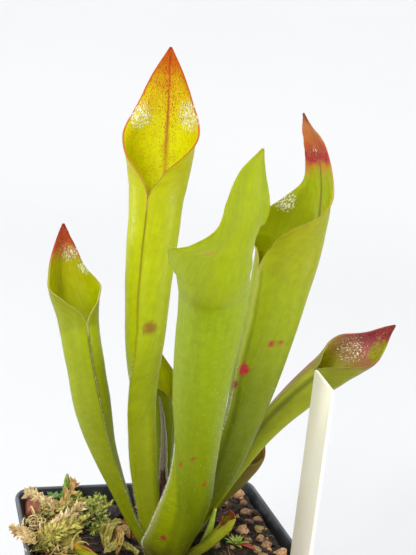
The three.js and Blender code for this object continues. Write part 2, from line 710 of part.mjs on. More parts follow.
function greenMoss() {
  const [x, y] = [-23.5, 30.5];
  return joined([
    tuft(GREEN_MOSS),
    tuft(GREEN_SPRAY),
    ellipsoid([x + 3, y - 1, 66], [4, 3.5, 3.5], 0),
    shoot(x, y, 66, 13.8),
  ]);
}

// Dead strands that hang over the rim at the left
function rimStrands() {
  const draw = seededDraw(5);
  const [x, y] = [-36.6, 8];
  const pieces = [ellipsoid([x, y, POT_HEIGHT + 1], [2.4, 4, 1.4], 0)];
  for (let i = 0; i < 12; i += 1) {
    const start = new THREE.Vector3(x + draw(-1.2, 1.2), y + draw(-2.6, 2.6), POT_HEIGHT + 1.4);
    pieces.push(strand(start, draw(2, 4.3), draw(3, 6), draw(1, 1.6), draw(0.2, 0.9), 0.7));
  }
  return largestPiece(joined(pieces).subtract(potShell(CLEARANCE)));
}

// A curled ribbon of leaf, with pointed ends
function ribbon(points, width, roll, thickness = 0.8) {
  const curve = new THREE.CatmullRomCurve3(points.map((p) => new THREE.Vector3(...p)));
  const rings = [];
  const steps = 7;
  for (let i = 0; i <= steps; i += 1) {
    const u = i / steps;
    const along = curve.getTangent(u);
    const across = new THREE.Vector3(0, 0, 1).cross(along).normalize();
    const up = new THREE.Vector3().crossVectors(along, across);
    const centre = curve.getPoint(u);
    const half = (width / 2) * (0.18 + 0.82 * Math.sin(Math.PI * (0.08 + 0.84 * u)));
    const at = (side, lift) => centre.clone().addScaledVector(across, half * side)
      .addScaledVector(up, lift + roll * side * side).toArray();
    rings.push([
      at(-1, 0), at(0, -roll * 0.4), at(1, 0), at(1, thickness), at(0, thickness), at(-1, thickness),
    ]);
  }
  return ringSolid(rings);
}

// A thin leaf that stands from the crown
function standingBlade(points, width, thickness) {
  const rings = points.map(([x, y, z], i) => {
    const u = i / (points.length - 1);
    const half = (width / 2) * (0.35 + 0.9 * Math.sin(Math.PI * (0.12 + 0.8 * u)) ** 2);
    return [
      [x - half, y, z], [x, y - thickness / 2, z], [x + half, y, z], [x, y + thickness / 2, z],
    ];
  });
  return ringSolid(rings);
}

// Places given as x, y and a lift over the soil
function overSoil(places) {
  return places.map(([x, y, lift]) => [x, y, soilHeight(x, y) + lift]);
}

const LEAF_SCRAPS = [
  { name: 'leaf_scrap_long', width: 5.5, roll: 1.4, colour: '#a88b3e',
    places: [[-13.6, 18.4, 0.2], [-12.3, 14.2, 1.6], [-10.5, 10.2, 1.8], [-8.9, 6.4, 0.2]] },
  { name: 'leaf_scrap_short', width: 3.2, roll: 0.7, colour: '#a5702f',
    places: [[-8.4, 18.6, 0.1], [-7.2, 16.6, 0.8], [-6.4, 14.6, 0.9], [-5.9, 12.4, 0.1]] },
];

function seedling() {
  const [x, y] = [21.5, 0.6];
  const ground = soilHeight(x, y);
  const leaves = [ellipsoid([x, y, ground], [1.6, 1.6, 2], 0)];
  for (let i = 0; i < 9; i += 1) {
    const start = new THREE.Vector3(x, y, ground + 0.6);
    leaves.push(strand(start, i * 2.4, 4.6 - 0.15 * i, 0.95 - 0.09 * i, 0.35, 0.6));
  }
  leaves.push(strand(new THREE.Vector3(x, y, ground + 0.8), -1, 6.5, 1.1, 0.3, 0.7));
  return joined(leaves);
}

// A broken piece of terracotta leaning in the corner
function chip(grow = 0) {
  const corners = [[-2.6, -4.2], [2.2, -3.4], [3.1, 0.6], [1.2, 4.3], [-2.2, 3.2]];
  const wider = 1 + grow / 2;
  const outline = new THREE.Shape(corners.map(([x, y]) => new THREE.Vector2(x * wider, y * wider)));
  const depth = 3 + 2 * grow;
  const shape = new THREE.ExtrudeGeometry(outline, { depth, bevelEnabled: false });
  shape.translate(0, 0, -grow);
  shape.rotateY(0.35);
  shape.translate(-33, 30.8, 66.8);
  return solidOf(shape);
}

function label(grow = 0) {
  const half = LABEL_WIDTH / 2 + grow;
  const bottom = LABEL_TOP - LABEL_LENGTH - grow;
  const outline = new THREE.Shape();
  outline.moveTo(0, bottom);
  outline.lineTo(half, bottom + LABEL_POINT);
  outline.lineTo(half, LABEL_TOP - 1);
  outline.lineTo(half - 1, LABEL_TOP);
  outline.lineTo(1 - half, LABEL_TOP);
  outline.lineTo(-half, LABEL_TOP - 1);
  outline.lineTo(-half, bottom + LABEL_POINT);
  outline.closePath();
  const depth = LABEL_THICKNESS + 2 * grow;
  const shape = new THREE.ExtrudeGeometry(outline, { depth, bevelEnabled: false });
  shape.translate(0, 0, -depth / 2);
  shape.rotateX(Math.PI / 2);
  shape.rotateZ(radians(LABEL_TURN));
  shape.translate(LABEL_PLACE[0], LABEL_PLACE[1], 0);
  return solidOf(shape);
}

// Assembly: each leaf makes room for the ones already standing at the crown

const rooms = [];
const leaves = PITCHERS.map((plan) => {
  let leaf = leafSolid(plan);
  for (const room of rooms) leaf = leaf.subtract(room);
  rooms.push(leafRoom(plan));
  return { ...plan, solid: largestPiece(leaf) };
});

const WITHERED = {
  width: 3.8, thickness: 1.6,
  path: [
    [1.4, 8.4, 61], [1.5, 9.8, 71], [2.2, 13.1, 79], [2.3, 16.2, 87], [2.5, 18.8, 94.5],
    [1.9, 20.4, 101], [0.6, 21.8, 107.5],
  ],
};
const YOUNG_LEAF = {
  width: 2.2, thickness: 1.4,
  path: [[8.2, 2.2, 61.5], [10.4, 1.6, 67], [12.8, 1.4, 73], [14.2, 1.2, 81.5]],
};

function blade({ path, width, thickness }, grow = 0) {
  return standingBlade(path, width + 2 * grow, thickness + 2 * grow);
}

function without(solid, cutters) {
  return cutters.reduce((rest, cutter) => rest.subtract(cutter), solid);
}

const withered = largestPiece(without(blade(WITHERED), rooms));
const youngLeaf = largestPiece(without(blade(YOUNG_LEAF), rooms));
const bladeRooms = [blade(WITHERED, CLEARANCE + 0.1), blade(YOUNG_LEAF, CLEARANCE + 0.1)];
const roots = [...rooms, ...bladeRooms];

const crown = largestPiece(without(ellipsoid(CROWN_CENTRE, CROWN_RADII), roots));
const crownRoom = ellipsoid(CROWN_CENTRE, CROWN_RADII.map((radius) => radius + 2 * CLEARANCE));

const peat = joined([soilBlock(), ...grains()]).intersect(potInside());
const soil = largestPiece(without(peat, [...roots, crownRoom, label(CLEARANCE)]));
const raisedSoil = joined([soilBlock(CLEARANCE), ...grains(CLEARANCE)]);

place('pot', pot(), '#1d2024', 0.45);
place('soil', soil, '#1c1714', 0.95);
place('crown', crown, '#7d6a3c', 0.8);
for (const { name, solid, colour } of leaves) place(name, solid, colour, 0.4);
place('withered_pitcher', withered, '#7a6a6c', 0.8);
place('young_leaf', youngLeaf, '#a6c832', 0.45);
place('seedling', laidOnSoil(seedling(), raisedSoil), '#7fa82c', 0.6);

const dryBack = tuft(DRY_MOSS_BACK).intersect(plotBlock(DRY_MOSS_BACK.plot)).subtract(chip(CLEARANCE));
const dryFront = tuft(DRY_MOSS_FRONT).intersect(plotBlock(DRY_MOSS_FRONT.plot));
const green = greenMoss().intersect(plotBlock(GREEN_MOSS.plot));
place('moss_green', laidOnSoil(green, raisedSoil), '#8ea43a', 0.85);
place('moss_dry_back', laidOnSoil(dryBack, raisedSoil), '#b59a58', 0.9);
place('moss_dry_front', laidOnSoil(dryFront, raisedSoil), '#b8a04e', 0.9);
place('moss_rim', rimStrands(), '#b59a58', 0.9);
for (const { name, places, width, roll, colour } of LEAF_SCRAPS) {
  place(name, laidOnSoil(ribbon(overSoil(places), width, roll), raisedSoil), colour, 0.6);
}
place('chip', laidOnSoil(chip(), raisedSoil), '#b5654a', 0.85);
place('label', label(), '#e9e2c8', 0.5);

export default group;
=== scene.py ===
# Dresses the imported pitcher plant: fine leaves, pot, peat, moss and label with
# procedural materials, on a pale studio floor. Tables are in millimetres.

import math

import bmesh
import bpy
import numpy as np
from mathutils import Matrix, Vector, noise


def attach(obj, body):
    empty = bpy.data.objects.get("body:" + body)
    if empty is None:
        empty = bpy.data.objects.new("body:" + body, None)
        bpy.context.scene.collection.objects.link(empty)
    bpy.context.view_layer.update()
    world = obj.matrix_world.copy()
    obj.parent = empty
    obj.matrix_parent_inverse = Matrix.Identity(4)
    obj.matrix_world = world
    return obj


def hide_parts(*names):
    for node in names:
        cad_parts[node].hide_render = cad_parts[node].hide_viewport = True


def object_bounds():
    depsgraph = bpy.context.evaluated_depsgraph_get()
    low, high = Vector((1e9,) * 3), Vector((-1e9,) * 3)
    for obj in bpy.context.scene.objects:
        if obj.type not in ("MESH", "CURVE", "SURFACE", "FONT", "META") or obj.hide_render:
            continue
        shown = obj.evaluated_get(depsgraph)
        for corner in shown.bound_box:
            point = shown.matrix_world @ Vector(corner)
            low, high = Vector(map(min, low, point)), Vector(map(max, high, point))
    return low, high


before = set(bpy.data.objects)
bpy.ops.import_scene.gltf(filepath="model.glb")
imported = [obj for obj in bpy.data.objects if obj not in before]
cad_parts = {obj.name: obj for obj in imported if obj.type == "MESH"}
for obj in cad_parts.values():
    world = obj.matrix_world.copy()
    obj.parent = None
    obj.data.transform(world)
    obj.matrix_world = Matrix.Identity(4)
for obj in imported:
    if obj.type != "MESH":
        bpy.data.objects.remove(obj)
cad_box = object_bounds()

MM = 0.001
LOWEST, HIGHEST = (np.array(corner) / MM for corner in cad_box)
rng = np.random.default_rng(11)


# Driving sizes, the same as the part's

POT_HEIGHT = 72
POT_SIDE = 76
RIM_FOOT_SIDE = 73.2
BAND_SIDE = 72.4
WAIST_SIDE = 70
BASE_SIDE = 62
BAND_FOOT = 62
POT_CORNER = 6
POT_WALL = 1.2
POT_FLOOR = 1.6
DRAIN_RADIUS = 3.5
DRAIN_PLACE = 19
GAP = 0.3
SOIL_LEVEL = 65
SOIL_RISE = 4.6
LABEL_LENGTH = 83
LABEL_WIDTH = 16
LABEL_THICKNESS = 0.8
LABEL_TOP = 128.5
LABEL_POINT = 10
LABEL_TIP = 0.3
LABEL_EDGE = 0.22
LABEL_PLACE = (31.2, -21.6)
LABEL_TURN = -98
CHIP_PLACE = (-33, 30.8, 66.8)
CHIP_THICKNESS = 3
SHOOT_PLACE = (-23.5, 30.5, 66)
SHOOT_HEIGHT = 13.6
STAR_PLACE = (-26.8, 31.8, 70.2)
SEEDLING_PLACE = (21.5, 0.6)
WITHERED = [(1.4, 8.4, 61), (1.5, 9.8, 71), (2.2, 13.1, 79), (2.3, 16.2, 87), (2.5, 18.8, 94.5),
            (1.9, 20.4, 101), (0.6, 21.8, 107.5)]
YOUNG_LEAF = [(8.2, 2.2, 61.5), (10.4, 1.6, 67), (12.8, 1.4, 73), (14.2, 1.2, 81.5)]
YOUNG_WIDTH = 2.2
YOUNG_THICKNESS = 1.2


# Camera, placed as the photograph was taken

CAMERA_PLACE = (-65.7, -216.9, 202.4)
CAMERA_TURN = (-17.99, 13.21, 5.82)
CAMERA_LENS = 58.38


def add_object(name, data):
    thing = bpy.data.objects.new(name, data)
    bpy.context.scene.collection.objects.link(thing)
    return thing


def make_camera():
    yaw, pitch, roll = (math.radians(angle) for angle in CAMERA_TURN)
    turn = Matrix.Rotation(yaw, 3, "Z") @ Matrix.Rotation(-pitch, 3, "X")
    right, forward, up = turn.col[0], turn.col[1], turn.col[2]
    level = math.cos(roll) * right + math.sin(roll) * up
    upright = -math.sin(roll) * right + math.cos(roll) * up
    data = bpy.data.cameras.new("camera")
    data.lens = CAMERA_LENS
    data.sensor_width = 36
    data.clip_start = 0.01
    data.clip_end = 30
    camera = add_object("camera", data)
    axes = Matrix((level, upright, -forward)).transposed().to_4x4()
    camera.matrix_world = Matrix.Translation(Vector(CAMERA_PLACE) * MM) @ axes
    bpy.context.scene.camera = camera


# Colours are written as they look on a screen, and used in linear light

def linear(colour):
    c = np.asarray(colour, dtype=float) / 255
    return np.where(c <= 0.04045, c / 12.92, ((c + 0.055) / 1.055) ** 2.4)


def mix(a, b, share):
    share = np.asarray(share)[..., None]
    return np.asarray(a) * (1 - share) + np.asarray(b) * share


def between(low, high, share):
    """A blend of two screen colours, for shares held between 0 and 1."""
    return mix(linear(low), linear(high), np.clip(share, 0, 1))


def ramp(x, low, high):
    """A smooth rise from 0 at low to 1 at high, or a fall where high is the smaller."""
    u = np.clip((np.asarray(x) - low) / (high - low), 0, 1)
    return u * u * (3 - 2 * u)


def graded(x, stops):
    """A colour for each x, from stops that each hold a place and its colour."""
    stops = np.array(stops, dtype=float)
    colours = linear(stops[:, 1:])
    return np.stack([np.interp(x, stops[:, 0], colours[:, k]) for k in range(3)], -1)


def palette(names, count):
    """That many colours, drawn from a list and each a little off."""
    chosen = np.array([linear(colour) for colour in names])[rng.integers(0, len(names), count)]
    return chosen * rng.uniform(0.75, 1.25, (count, 1))


# Mesh pieces

class Bag:
    """Points in millimetres, faces and point colours that become one mesh."""

    def __init__(self):
        self.points = []
        self.faces = []
        self.colours = []
        self.count = 0

    def add(self, points, faces, colour):
        points = np.asarray(points, dtype=float)
        self.points.append(points)
        if isinstance(faces, np.ndarray):
            self.faces.extend((faces + self.count).tolist())
        else:
            self.faces.extend([index + self.count for index in face] for face in faces)
        self.colours.append(np.broadcast_to(colour, (len(points), 3)))
        self.count += len(points)

    def build(self, name, material, slot, *nodes, smooth=True, extra=None):
        points = np.clip(np.concatenate(self.points), LOWEST, HIGHEST)
        mesh = bpy.data.meshes.new(name)
        mesh.from_pydata((points * MM).tolist(), [], self.faces)
        tint = mesh.attributes.new("tint", "FLOAT_COLOR", "POINT")
        rgba = np.ones((len(points), 4))
        rgba[:, :3] = np.concatenate(self.colours)
        tint.data.foreach_set("color", rgba.ravel())
        for key, values in (extra or {}).items():
            values = np.asarray(values, dtype=float)
            kind = "FLOAT_VECTOR" if values.ndim == 2 else "FLOAT"
            data = mesh.attributes.new(key, kind, "POINT").data
            data.foreach_set("vector" if values.ndim == 2 else "value", values.ravel())
        mesh.shade_smooth() if smooth else mesh.shade_flat()
        mesh.materials.append(material)
        piece = add_object(name, mesh)
        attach(piece, "root")
        if nodes:
            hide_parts(*nodes)
        return piece


def unit(vectors):
    vectors = np.asarray(vectors, dtype=float)
    return vectors / np.maximum(np.linalg.norm(vectors, axis=-1, keepdims=True), 1e-9)


def swing(ahead, aside, turn):
    """The direction that ahead becomes when it turns by an angle towards aside."""
    turn = np.asarray(turn)[..., None]
    return np.cos(turn) * ahead + np.sin(turn) * aside


def around(angle):
    """The level direction at an angle."""
    return swing((1, 0, 0), (0, 1, 0), angle)


def wobble(points, size, seed=0.0):
    """Smooth noise, one value a point, for features of that size in millimetres."""
    shift = Vector((seed * 7.1, seed * 3.3, seed * 5.7))
    return np.array([noise.noise(Vector(p) / size + shift) for p in points])


def shaken(points, size, seeds):
    """Smooth noise with a value for each of x, y and z, from three seeds."""
    return np.stack([wobble(points, size, seed) for seed in seeds], -1)


def shade_moulded(piece):
    """Smooth shading that keeps the sharp edges of a moulded piece crisp."""
    piece.data.shade_smooth()
    piece.data.set_sharp_from_angle(angle=math.radians(50))


# Materials

class Nodes:
    """A material's node tree, with short calls to add and link nodes."""

    def __init__(self, name):
        self.material = bpy.data.materials.new(name)
        self.material.use_nodes = True
        self.tree = self.material.node_tree
        self.shader = self.tree.nodes["Principled BSDF"]

    def add(self, kind, **settings):
        node = self.tree.nodes.new("ShaderNode" + kind)
        for key, value in settings.items():
            if key in node.inputs:
                node.inputs[key].default_value = value
            else:
                setattr(node, key, value)
        return node

    def feed(self, value, socket):
        """Links an output to a socket, or sets the socket to a number or a colour."""
        if isinstance(value, bpy.types.NodeSocket):
            self.tree.links.new(value, socket)
        elif isinstance(value, (int, float)):
            socket.default_value = value
        else:
            socket.default_value = (*value[:3], 1)

    def attribute(self, name, output="Fac"):
        return self.add("Attribute", attribute_name=name).outputs[output]

    def object_coordinates(self):
        return self.add("TexCoord").outputs["Object"]

    def height(self, coordinates):
        split = self.add("SeparateXYZ")
        self.feed(coordinates, split.inputs["Vector"])
        return split.outputs["Z"]

    def stretched(self, coordinates, scale):
        mapping = self.add("Mapping", Scale=scale)
        self.feed(coordinates, mapping.inputs["Vector"])
        return mapping.outputs["Vector"]

    def noise(self, coordinates, scale, detail=3.0, stretch=None):
        if stretch:
            coordinates = self.stretched(coordinates, stretch)
        texture = self.add("TexNoise", Scale=scale, Detail=detail)
        self.feed(coordinates, texture.inputs["Vector"])
        return texture.outputs["Fac"]

    def cells(self, coordinates, scale, stretch, feature="F1"):
        texture = self.add("TexVoronoi", feature=feature, Scale=scale)
        self.feed(self.stretched(coordinates, stretch), texture.inputs["Vector"])
        return texture.outputs["Distance"]

    def span(self, value, low, high, to_low, to_high):
        """A smooth change from to_low to to_high, as the value goes from low to high."""
        node = self.add("MapRange", interpolation_type="SMOOTHSTEP")
        self.feed(value, node.inputs["Value"])
        for key, number in zip(("From Min", "From Max", "To Min", "To Max"),
                               (low, high, to_low, to_high)):
            node.inputs[key].default_value = number
        return node.outputs["Result"]

    def maths(self, operation, a, b):
        node = self.add("Math", operation=operation)
        self.feed(a, node.inputs[0])
        self.feed(b, node.inputs[1])
        return node.outputs["Value"]

    def product(self, a, b):
        return self.maths("MULTIPLY", a, b)

    def blend(self, a, b, share, mode="MIX"):
        node = self.add("Mix", data_type="RGBA", blend_type=mode)
        for number, value in ((6, a), (7, b), (0, share)):
            self.feed(value, node.inputs[number])
        return node.outputs[2]

    def shaded(self, colour, amount):
        """The colour made darker or lighter by a value around 1."""
        grey = self.add("CombineColor")
        for socket in grey.inputs:
            self.feed(amount, socket)
        return self.blend(colour, grey.outputs["Color"], 1.0, "MULTIPLY")

    def bump(self, height, distance, strength, under=None):
        node = self.add("Bump", Strength=strength, Distance=distance)
        self.feed(height, node.inputs["Height"])
        if under is not None:
            self.feed(under, node.inputs["Normal"])
        return node.outputs["Normal"]

    def finish(self, colour, roughness, normal=None, **fixed):
        self.feed(colour, self.shader.inputs["Base Color"])
        self.feed(roughness, self.shader.inputs["Roughness"])
        if normal is not None:
            self.feed(normal, self.shader.inputs["Normal"])
        for key, value in fixed.items():
            self.shader.inputs[key.replace("_", " ")].default_value = value
        return self.material


FRECKLES = ((1.0, 0.4, (204, 110, 8)), (1.5, 0.46, (172, 54, 10)))
# Colours of painted highlights: glints over the wet beads, and lines along the wrinkle crests
PAINTED_GLINT_COLOUR, PAINTED_CREST_HIGHLIGHT = (255, 255, 214), (255, 196, 150)


def netted(n, colour, net, share):
    """The colour with darker lines of a fine net over it."""
    darker = n.shaded(colour, n.span(share, 0, 1, 1.0, 0.72))
    return n.blend(colour, darker, net)


def freckled(n, grid, colour, freckle):
    """The colour with round spots in two sizes, in patches."""
    patchy = n.span(n.noise(grid, 0.35, 3), 0.34, 0.56, 0.45, 1.0)
    for scale, size, stain in FRECKLES:
        inside = n.maths("SUBTRACT", n.product(freckle, size), n.cells(grid, scale, (1, 1, 1)))
        dots = n.span(inside, -0.09, 0.06, 0.0, 1.0)
        colour = n.blend(colour, linear(stain), n.product(dots, patchy))
    return colour


def wrinkle_crests_and_highlights(n, grid, wrinkle):
    """Thin crest lines, where a slow wave crosses its middle; they serve as bumps and as painted
    highlight lines.
    """
    wave = n.maths("SUBTRACT", n.noise(grid, 0.8, 2, (0.7, 1.5, 1)), 0.5)
    crest_and_highlight = n.span(n.product(wave, wave), 0.0, 0.0012, 1.0, 0.0)
    return n.product(crest_and_highlight, wrinkle)


def leaf_material():
    """Waxy leaf: a faint net and mottling, freckles, and wet wrinkles and beads inside hoods; the
    beads carry painted glints and the wrinkle crests painted highlight lines.
    """
    n = Nodes("leaf")
    grid = n.attribute("grid", "Vector")
    wet_and_painted_glints = n.attribute("wet_and_painted_glints")
    mottle = n.span(n.noise(grid, 0.45, 4), 0.25, 0.75, 0.93, 1.07)
    veins = n.span(n.noise(grid, 1.0, 2, (1.3, 0.07, 1)), 0.3, 0.7, 0.96, 1.03)
    net = n.span(n.cells(grid, 0.7, (1, 0.55, 1), "DISTANCE_TO_EDGE"), 0.02, 0.14, 1.0, 0.0)
    glint_speckle = n.product(n.noise(grid, 1.4, 4), n.span(wet_and_painted_glints, 0, 1, 0.55, 1.0))
    glints = n.span(glint_speckle, 0.47, 0.53, 0.0, 1.0)
    crest_and_highlight = wrinkle_crests_and_highlights(n, grid, n.attribute("wrinkle"))
    colour = n.shaded(n.shaded(n.attribute("tint", "Color"), mottle), veins)
    colour = netted(n, colour, net, n.attribute("net"))
    colour = freckled(n, grid, colour, n.attribute("freckle"))
    # Painted highlight: pale glints blended into the colour where the wet beads stand
    colour = n.blend(colour, linear(PAINTED_GLINT_COLOUR), n.product(glints, 0.9))
    # Painted highlight: pale lines along the wrinkle crests
    colour = n.blend(colour, linear(PAINTED_CREST_HIGHLIGHT), n.product(crest_and_highlight, 0.45))
    normal = n.bump(n.noise(grid, 1.0, 3, (1.3, 0.12, 1)), 0.0003, 0.22)
    normal = n.bump(net, 0.0002, 0.15, normal)
    normal = n.bump(n.noise(grid, 2.6, 3), 0.00012, 0.5, normal)
    normal = n.bump(glints, 0.0002, 0.8, normal)
    normal = n.bump(crest_and_highlight, 0.0003, 0.8, normal)
    dry = n.span(n.noise(grid, 0.8, 2), 0.3, 0.7, 0.34, 0.46)
    roughness = n.product(dry, n.span(wet_and_painted_glints, 0, 1, 1.0, 0.55))
    shiny = n.maths("MAXIMUM", glints, n.product(crest_and_highlight, 0.7))
    n.feed(n.span(shiny, 0, 1, 0.03, 1.0), n.shader.inputs["Coat Weight"])
    n.feed(normal, n.shader.inputs["Coat Normal"])
    return n.finish(colour, roughness, normal, Subsurface_Weight=0.12, Subsurface_Scale=0.002,
                    Coat_Roughness=0.15, Coat_IOR=1.7, Specular_IOR_Level=0.09)


def tinted_material(name, roughness, bump_size, bump_height, variation, sheen=0.0, soft=0.0):
    """A material that takes its colour from the piece and is rough at one scale."""
    n = Nodes(name)
    coordinates = n.object_coordinates()
    scale = 1 / (bump_size * MM)
    uneven = n.span(n.noise(coordinates, scale * 0.6, 3), 0.25, 0.75, 1 - variation, 1 + variation)
    normal = n.bump(n.noise(coordinates, scale, 4), bump_height * MM, 0.8)
    patches = n.noise(coordinates, scale * 0.4, 2)
    rough = n.span(patches, 0.3, 0.7, roughness - 0.1, roughness + 0.08)
    colour = n.shaded(n.attribute("tint", "Color"), uneven)
    return n.finish(colour, rough, normal, Sheen_Weight=sheen, Subsurface_Weight=soft,
                    Subsurface_Scale=0.001)


def crown_material():
    """Brown rhizome with darker scars of old leaves."""
    n = Nodes("rhizome")
    coordinates = n.object_coordinates()
    scars = n.span(n.noise(coordinates, 420, 4), 0.4, 0.62, 0.0, 1.0)
    colour = n.blend(linear((92, 60, 34)), linear((48, 30, 20)), scars)
    return n.finish(colour, 0.7, n.bump(n.noise(coordinates, 900, 4), 0.0004, 0.8))


def pot_material():
    """Black moulded plastic, satin, with a painted highlight along the top of the rim and dried
    water marks.
    """
    n = Nodes("pot_plastic")
    coordinates = n.object_coordinates()
    # Painted highlight: the top of the rim is lightened to a patchy grey-blue
    painted_rim_highlight = n.product(n.span(n.height(coordinates), 0.0713, 0.0719, 0.0, 1.0),
                     n.span(n.noise(coordinates, 160, 4), 0.3, 0.7, 0.55, 1.0))
    marks = n.span(n.noise(coordinates, 110, 5), 0.5, 0.75, 0.0, 0.25)
    colour = n.blend(linear((25, 28, 33)), linear((62, 61, 59)), marks)
    colour = n.blend(colour, linear((98, 104, 112)), painted_rim_highlight)
    normal = n.bump(n.noise(coordinates, 2200, 2), 0.00008, 0.4)
    normal = n.bump(n.noise(coordinates, 60, 2), 0.0006, 0.2, normal)
    roughness = n.span(n.noise(coordinates, 120, 3), 0.3, 0.7, 0.4, 0.55)
    return n.finish(colour, roughness, normal)


def label_material():
    """Cream plastic card, faintly grained, stained where it leaves the soil."""
    n = Nodes("label_plastic")
    coordinates = n.object_coordinates()
    stain = n.product(n.span(n.height(coordinates), 0.066, 0.08, 1.0, 0.0),
                      n.span(n.noise(coordinates, 500, 4), 0.42, 0.6, 0.1, 0.8))
    specks = n.span(n.noise(coordinates, 1400, 3), 0.68, 0.76, 0.0, 0.35)
    colour = n.blend(linear((252, 249, 236)), linear((244, 237, 216)), n.noise(coordinates, 90, 3))
    colour = n.blend(colour, linear((150, 132, 96)), specks)
    colour = n.blend(colour, linear((96, 76, 52)), stain)
    normal = n.bump(n.noise(coordinates, 1500, 2, (1, 1, 0.25)), 0.00006, 0.5)
    return n.finish(colour, 0.42, normal, Subsurface_Weight=0.12, Subsurface_Scale=0.001)


# After each name: roughness, size and height of the bumps, unevenness of the colour

LEAF = leaf_material()
PEAT = tinted_material("peat", 0.85, 0.7, 0.5, 0.3)
GRAIN = tinted_material("grain", 0.8, 0.5, 0.12, 0.16)
MOSS = tinted_material("moss", 0.6, 0.5, 0.05, 0.15, sheen=0.1, soft=0.3)
LEAFY = tinted_material("leafy", 0.45, 0.4, 0.05, 0.12, soft=0.12)
DRY_MOSS = tinted_material("dry_moss", 0.65, 0.4, 0.06, 0.16, sheen=0.1, soft=0.25)
SCRAP = tinted_material("dry_leaf", 0.5, 0.6, 0.08, 0.2)
CHIP = tinted_material("terracotta", 0.85, 0.5, 0.15, 0.12)
HAIR = tinted_material("hair", 0.5, 0.5, 0.01, 0.05, sheen=0.3)
BEAD = tinted_material("nectar", 0.2, 0.3, 0.01, 0.1, soft=0.2)


# Leaves: the same rows as the part's solids. Each row is a place on the midrib with
# x, y, z, half width, the bearing that the mouth faces, the half angle that the blade
# wraps and the height of the keel or lip

FRONT = [
    (3.6, 3.4, 60.5, 2.0, 158, 180, 2.8),
    (5.4, 0.5, 66.5, 2.6, 160, 180, 7.0),
    (6.9, -4.2, 75.5, 3.3, 158, 180, 6.6),
    (8.6, -9.8, 88.5, 4.6, 150, 180, 4.4),
    (7.3, -14.2, 101, 5.7, 141, 180, 1.3),
    (6.0, -18.3, 111.5, 6.5, 135, 180, 0.6),
    (4.6, -22.6, 121.5, 7.3, 131, 180, 0.6),
    (2.8, -30.1, 138.7, 8.1, 126, 180, 0.6),
    (1.2, -36.8, 153.2, 8.6, 124, 180, 0.6),
    (-0.4, -41, 159, 8.9, 125, 161, 0.7),
    (-1.2, -41.8, 162.3, 9.3, 126, 131, 0.9),
    (-1.4, -42.2, 165.3, 9.9, 124, 101, 1.0),
    (-1.6, -42.7, 167.3, 8.4, 117, 72, 0.7),
    (-1.7, -43.2, 169.7, 6.4, 114, 50, 0.5),
    (-1.3, -43, 175, 5.2, 104, 37, 0.5),
    (-0.8, -42.3, 181.5, 3.3, 104, 41, 0),
    (0.2, -42, 186.9, 0.3, 112, 43, 0),
]
TALL = [
    (0.4, 5.2, 60.5, 2.0, 215, 180, 0.4),
    (-0.2, 5.7, 70, 2.2, 203, 180, 1.2),
    (-1.0, 6.5, 82, 1.8, 188, 180, 3.4),
    (-2.1, 8.1, 91.5, 1.8, 185, 180, 4.4),
    (-2.9, 10.5, 102, 2.3, 190, 180, 4.0),
    (-3.5, 14, 111.5, 3.6, 212, 180, 2.7),
    (-3.9, 17.5, 121.5, 5.1, 230, 180, 0.9),
    (-3.5, 21, 137.5, 6.3, 234, 180, 0.6),
    (-2.7, 24, 152, 7.1, 236, 180, 0.5),
    (-2.1, 26, 162.5, 7.5, 238, 180, 0.4),
    (-1.8, 27.4, 167, 8.0, 241, 166, 0.8),
    (-1.7, 28.8, 172.5, 8.8, 243, 147, 1.3),
    (-1.8, 29.7, 179, 9.4, 245, 118, 1.2),
    (-1.9, 29.9, 185.5, 9.2, 246, 86, 0.9),
    (-2.3, 29.6, 192, 7.2, 245, 60, 0.4),
    (-2.8, 28.9, 199, 4.5, 244, 48, 0),
    (-3.5, 27.5, 206.2, 0.35, 243, 38, 0),
]
RIGHT = [
    (4.2, 5.4, 60.5, 1.7, 205, 180, 0.5),
    (8.2, 5.4, 69.5, 2.3, 206, 180, 1.2),
    (15.0, 6.2, 81.5, 3.5, 207, 180, 1.8),
    (20.7, 7.8, 91, 4.6, 206, 180, 1.8),
    (26.4, 10.5, 103, 5.6, 204, 180, 1.4),
    (31.5, 13.2, 117.5, 7.4, 202, 180, 0.9),
    (35.7, 15.1, 131, 8.3, 199, 180, 0.6),
    (39.3, 16.5, 143.2, 9.4, 193, 180, 0.3),
    (41.5, 17.3, 149.3, 10.2, 188, 153, 0.4),
    (42.8, 18.4, 155.5, 11.1, 188, 129, 0.6),
    (43.1, 19.4, 161, 11.8, 191, 103, 0.7),
    (43.2, 19.8, 167, 9.9, 196, 74, 1.0),
    (42.7, 20, 173, 6.1, 198, 44, 0.8),
    (41, 20.1, 180.2, 5.0, 197, 31, 0.3),
    (37.4, 19.9, 187.5, 3.5, 191, 27, 0.2),
    (33.8, 18.5, 192.1, 0.35, 182, 30, 0),
]
LEFT = [
    (-0.9, 4.6, 60.5, 1.7, 302, 180, 0.3),
    (-4.6, 5.8, 69.5, 1.8, 299, 180, 0.5),
    (-9.2, 8, 77, 1.8, 296, 180, 1.0),
    (-13, 11, 84.7, 2.5, 293, 180, 1.6),
    (-17.5, 15, 94.8, 3.7, 289, 180, 1.6),
    (-21.1, 18, 105.7, 5.1, 287, 180, 1.2),
    (-24.3, 20.4, 120, 5.3, 286, 180, 0.6),
    (-26.1, 22.2, 128, 5.6, 287, 180, 0.3),
    (-27.1, 24.3, 132.7, 6.3, 288, 137, 0.4),
    (-28.3, 26.4, 137.8, 6.9, 288, 101, 0.7),
    (-29.3, 27.4, 143.7, 5.3, 287, 80, 0.4),
    (-29.6, 26.9, 150, 3.2, 284, 68, 0.2),
    (-30, 24.5, 156.8, 0.35, 278, 40, 0),
]
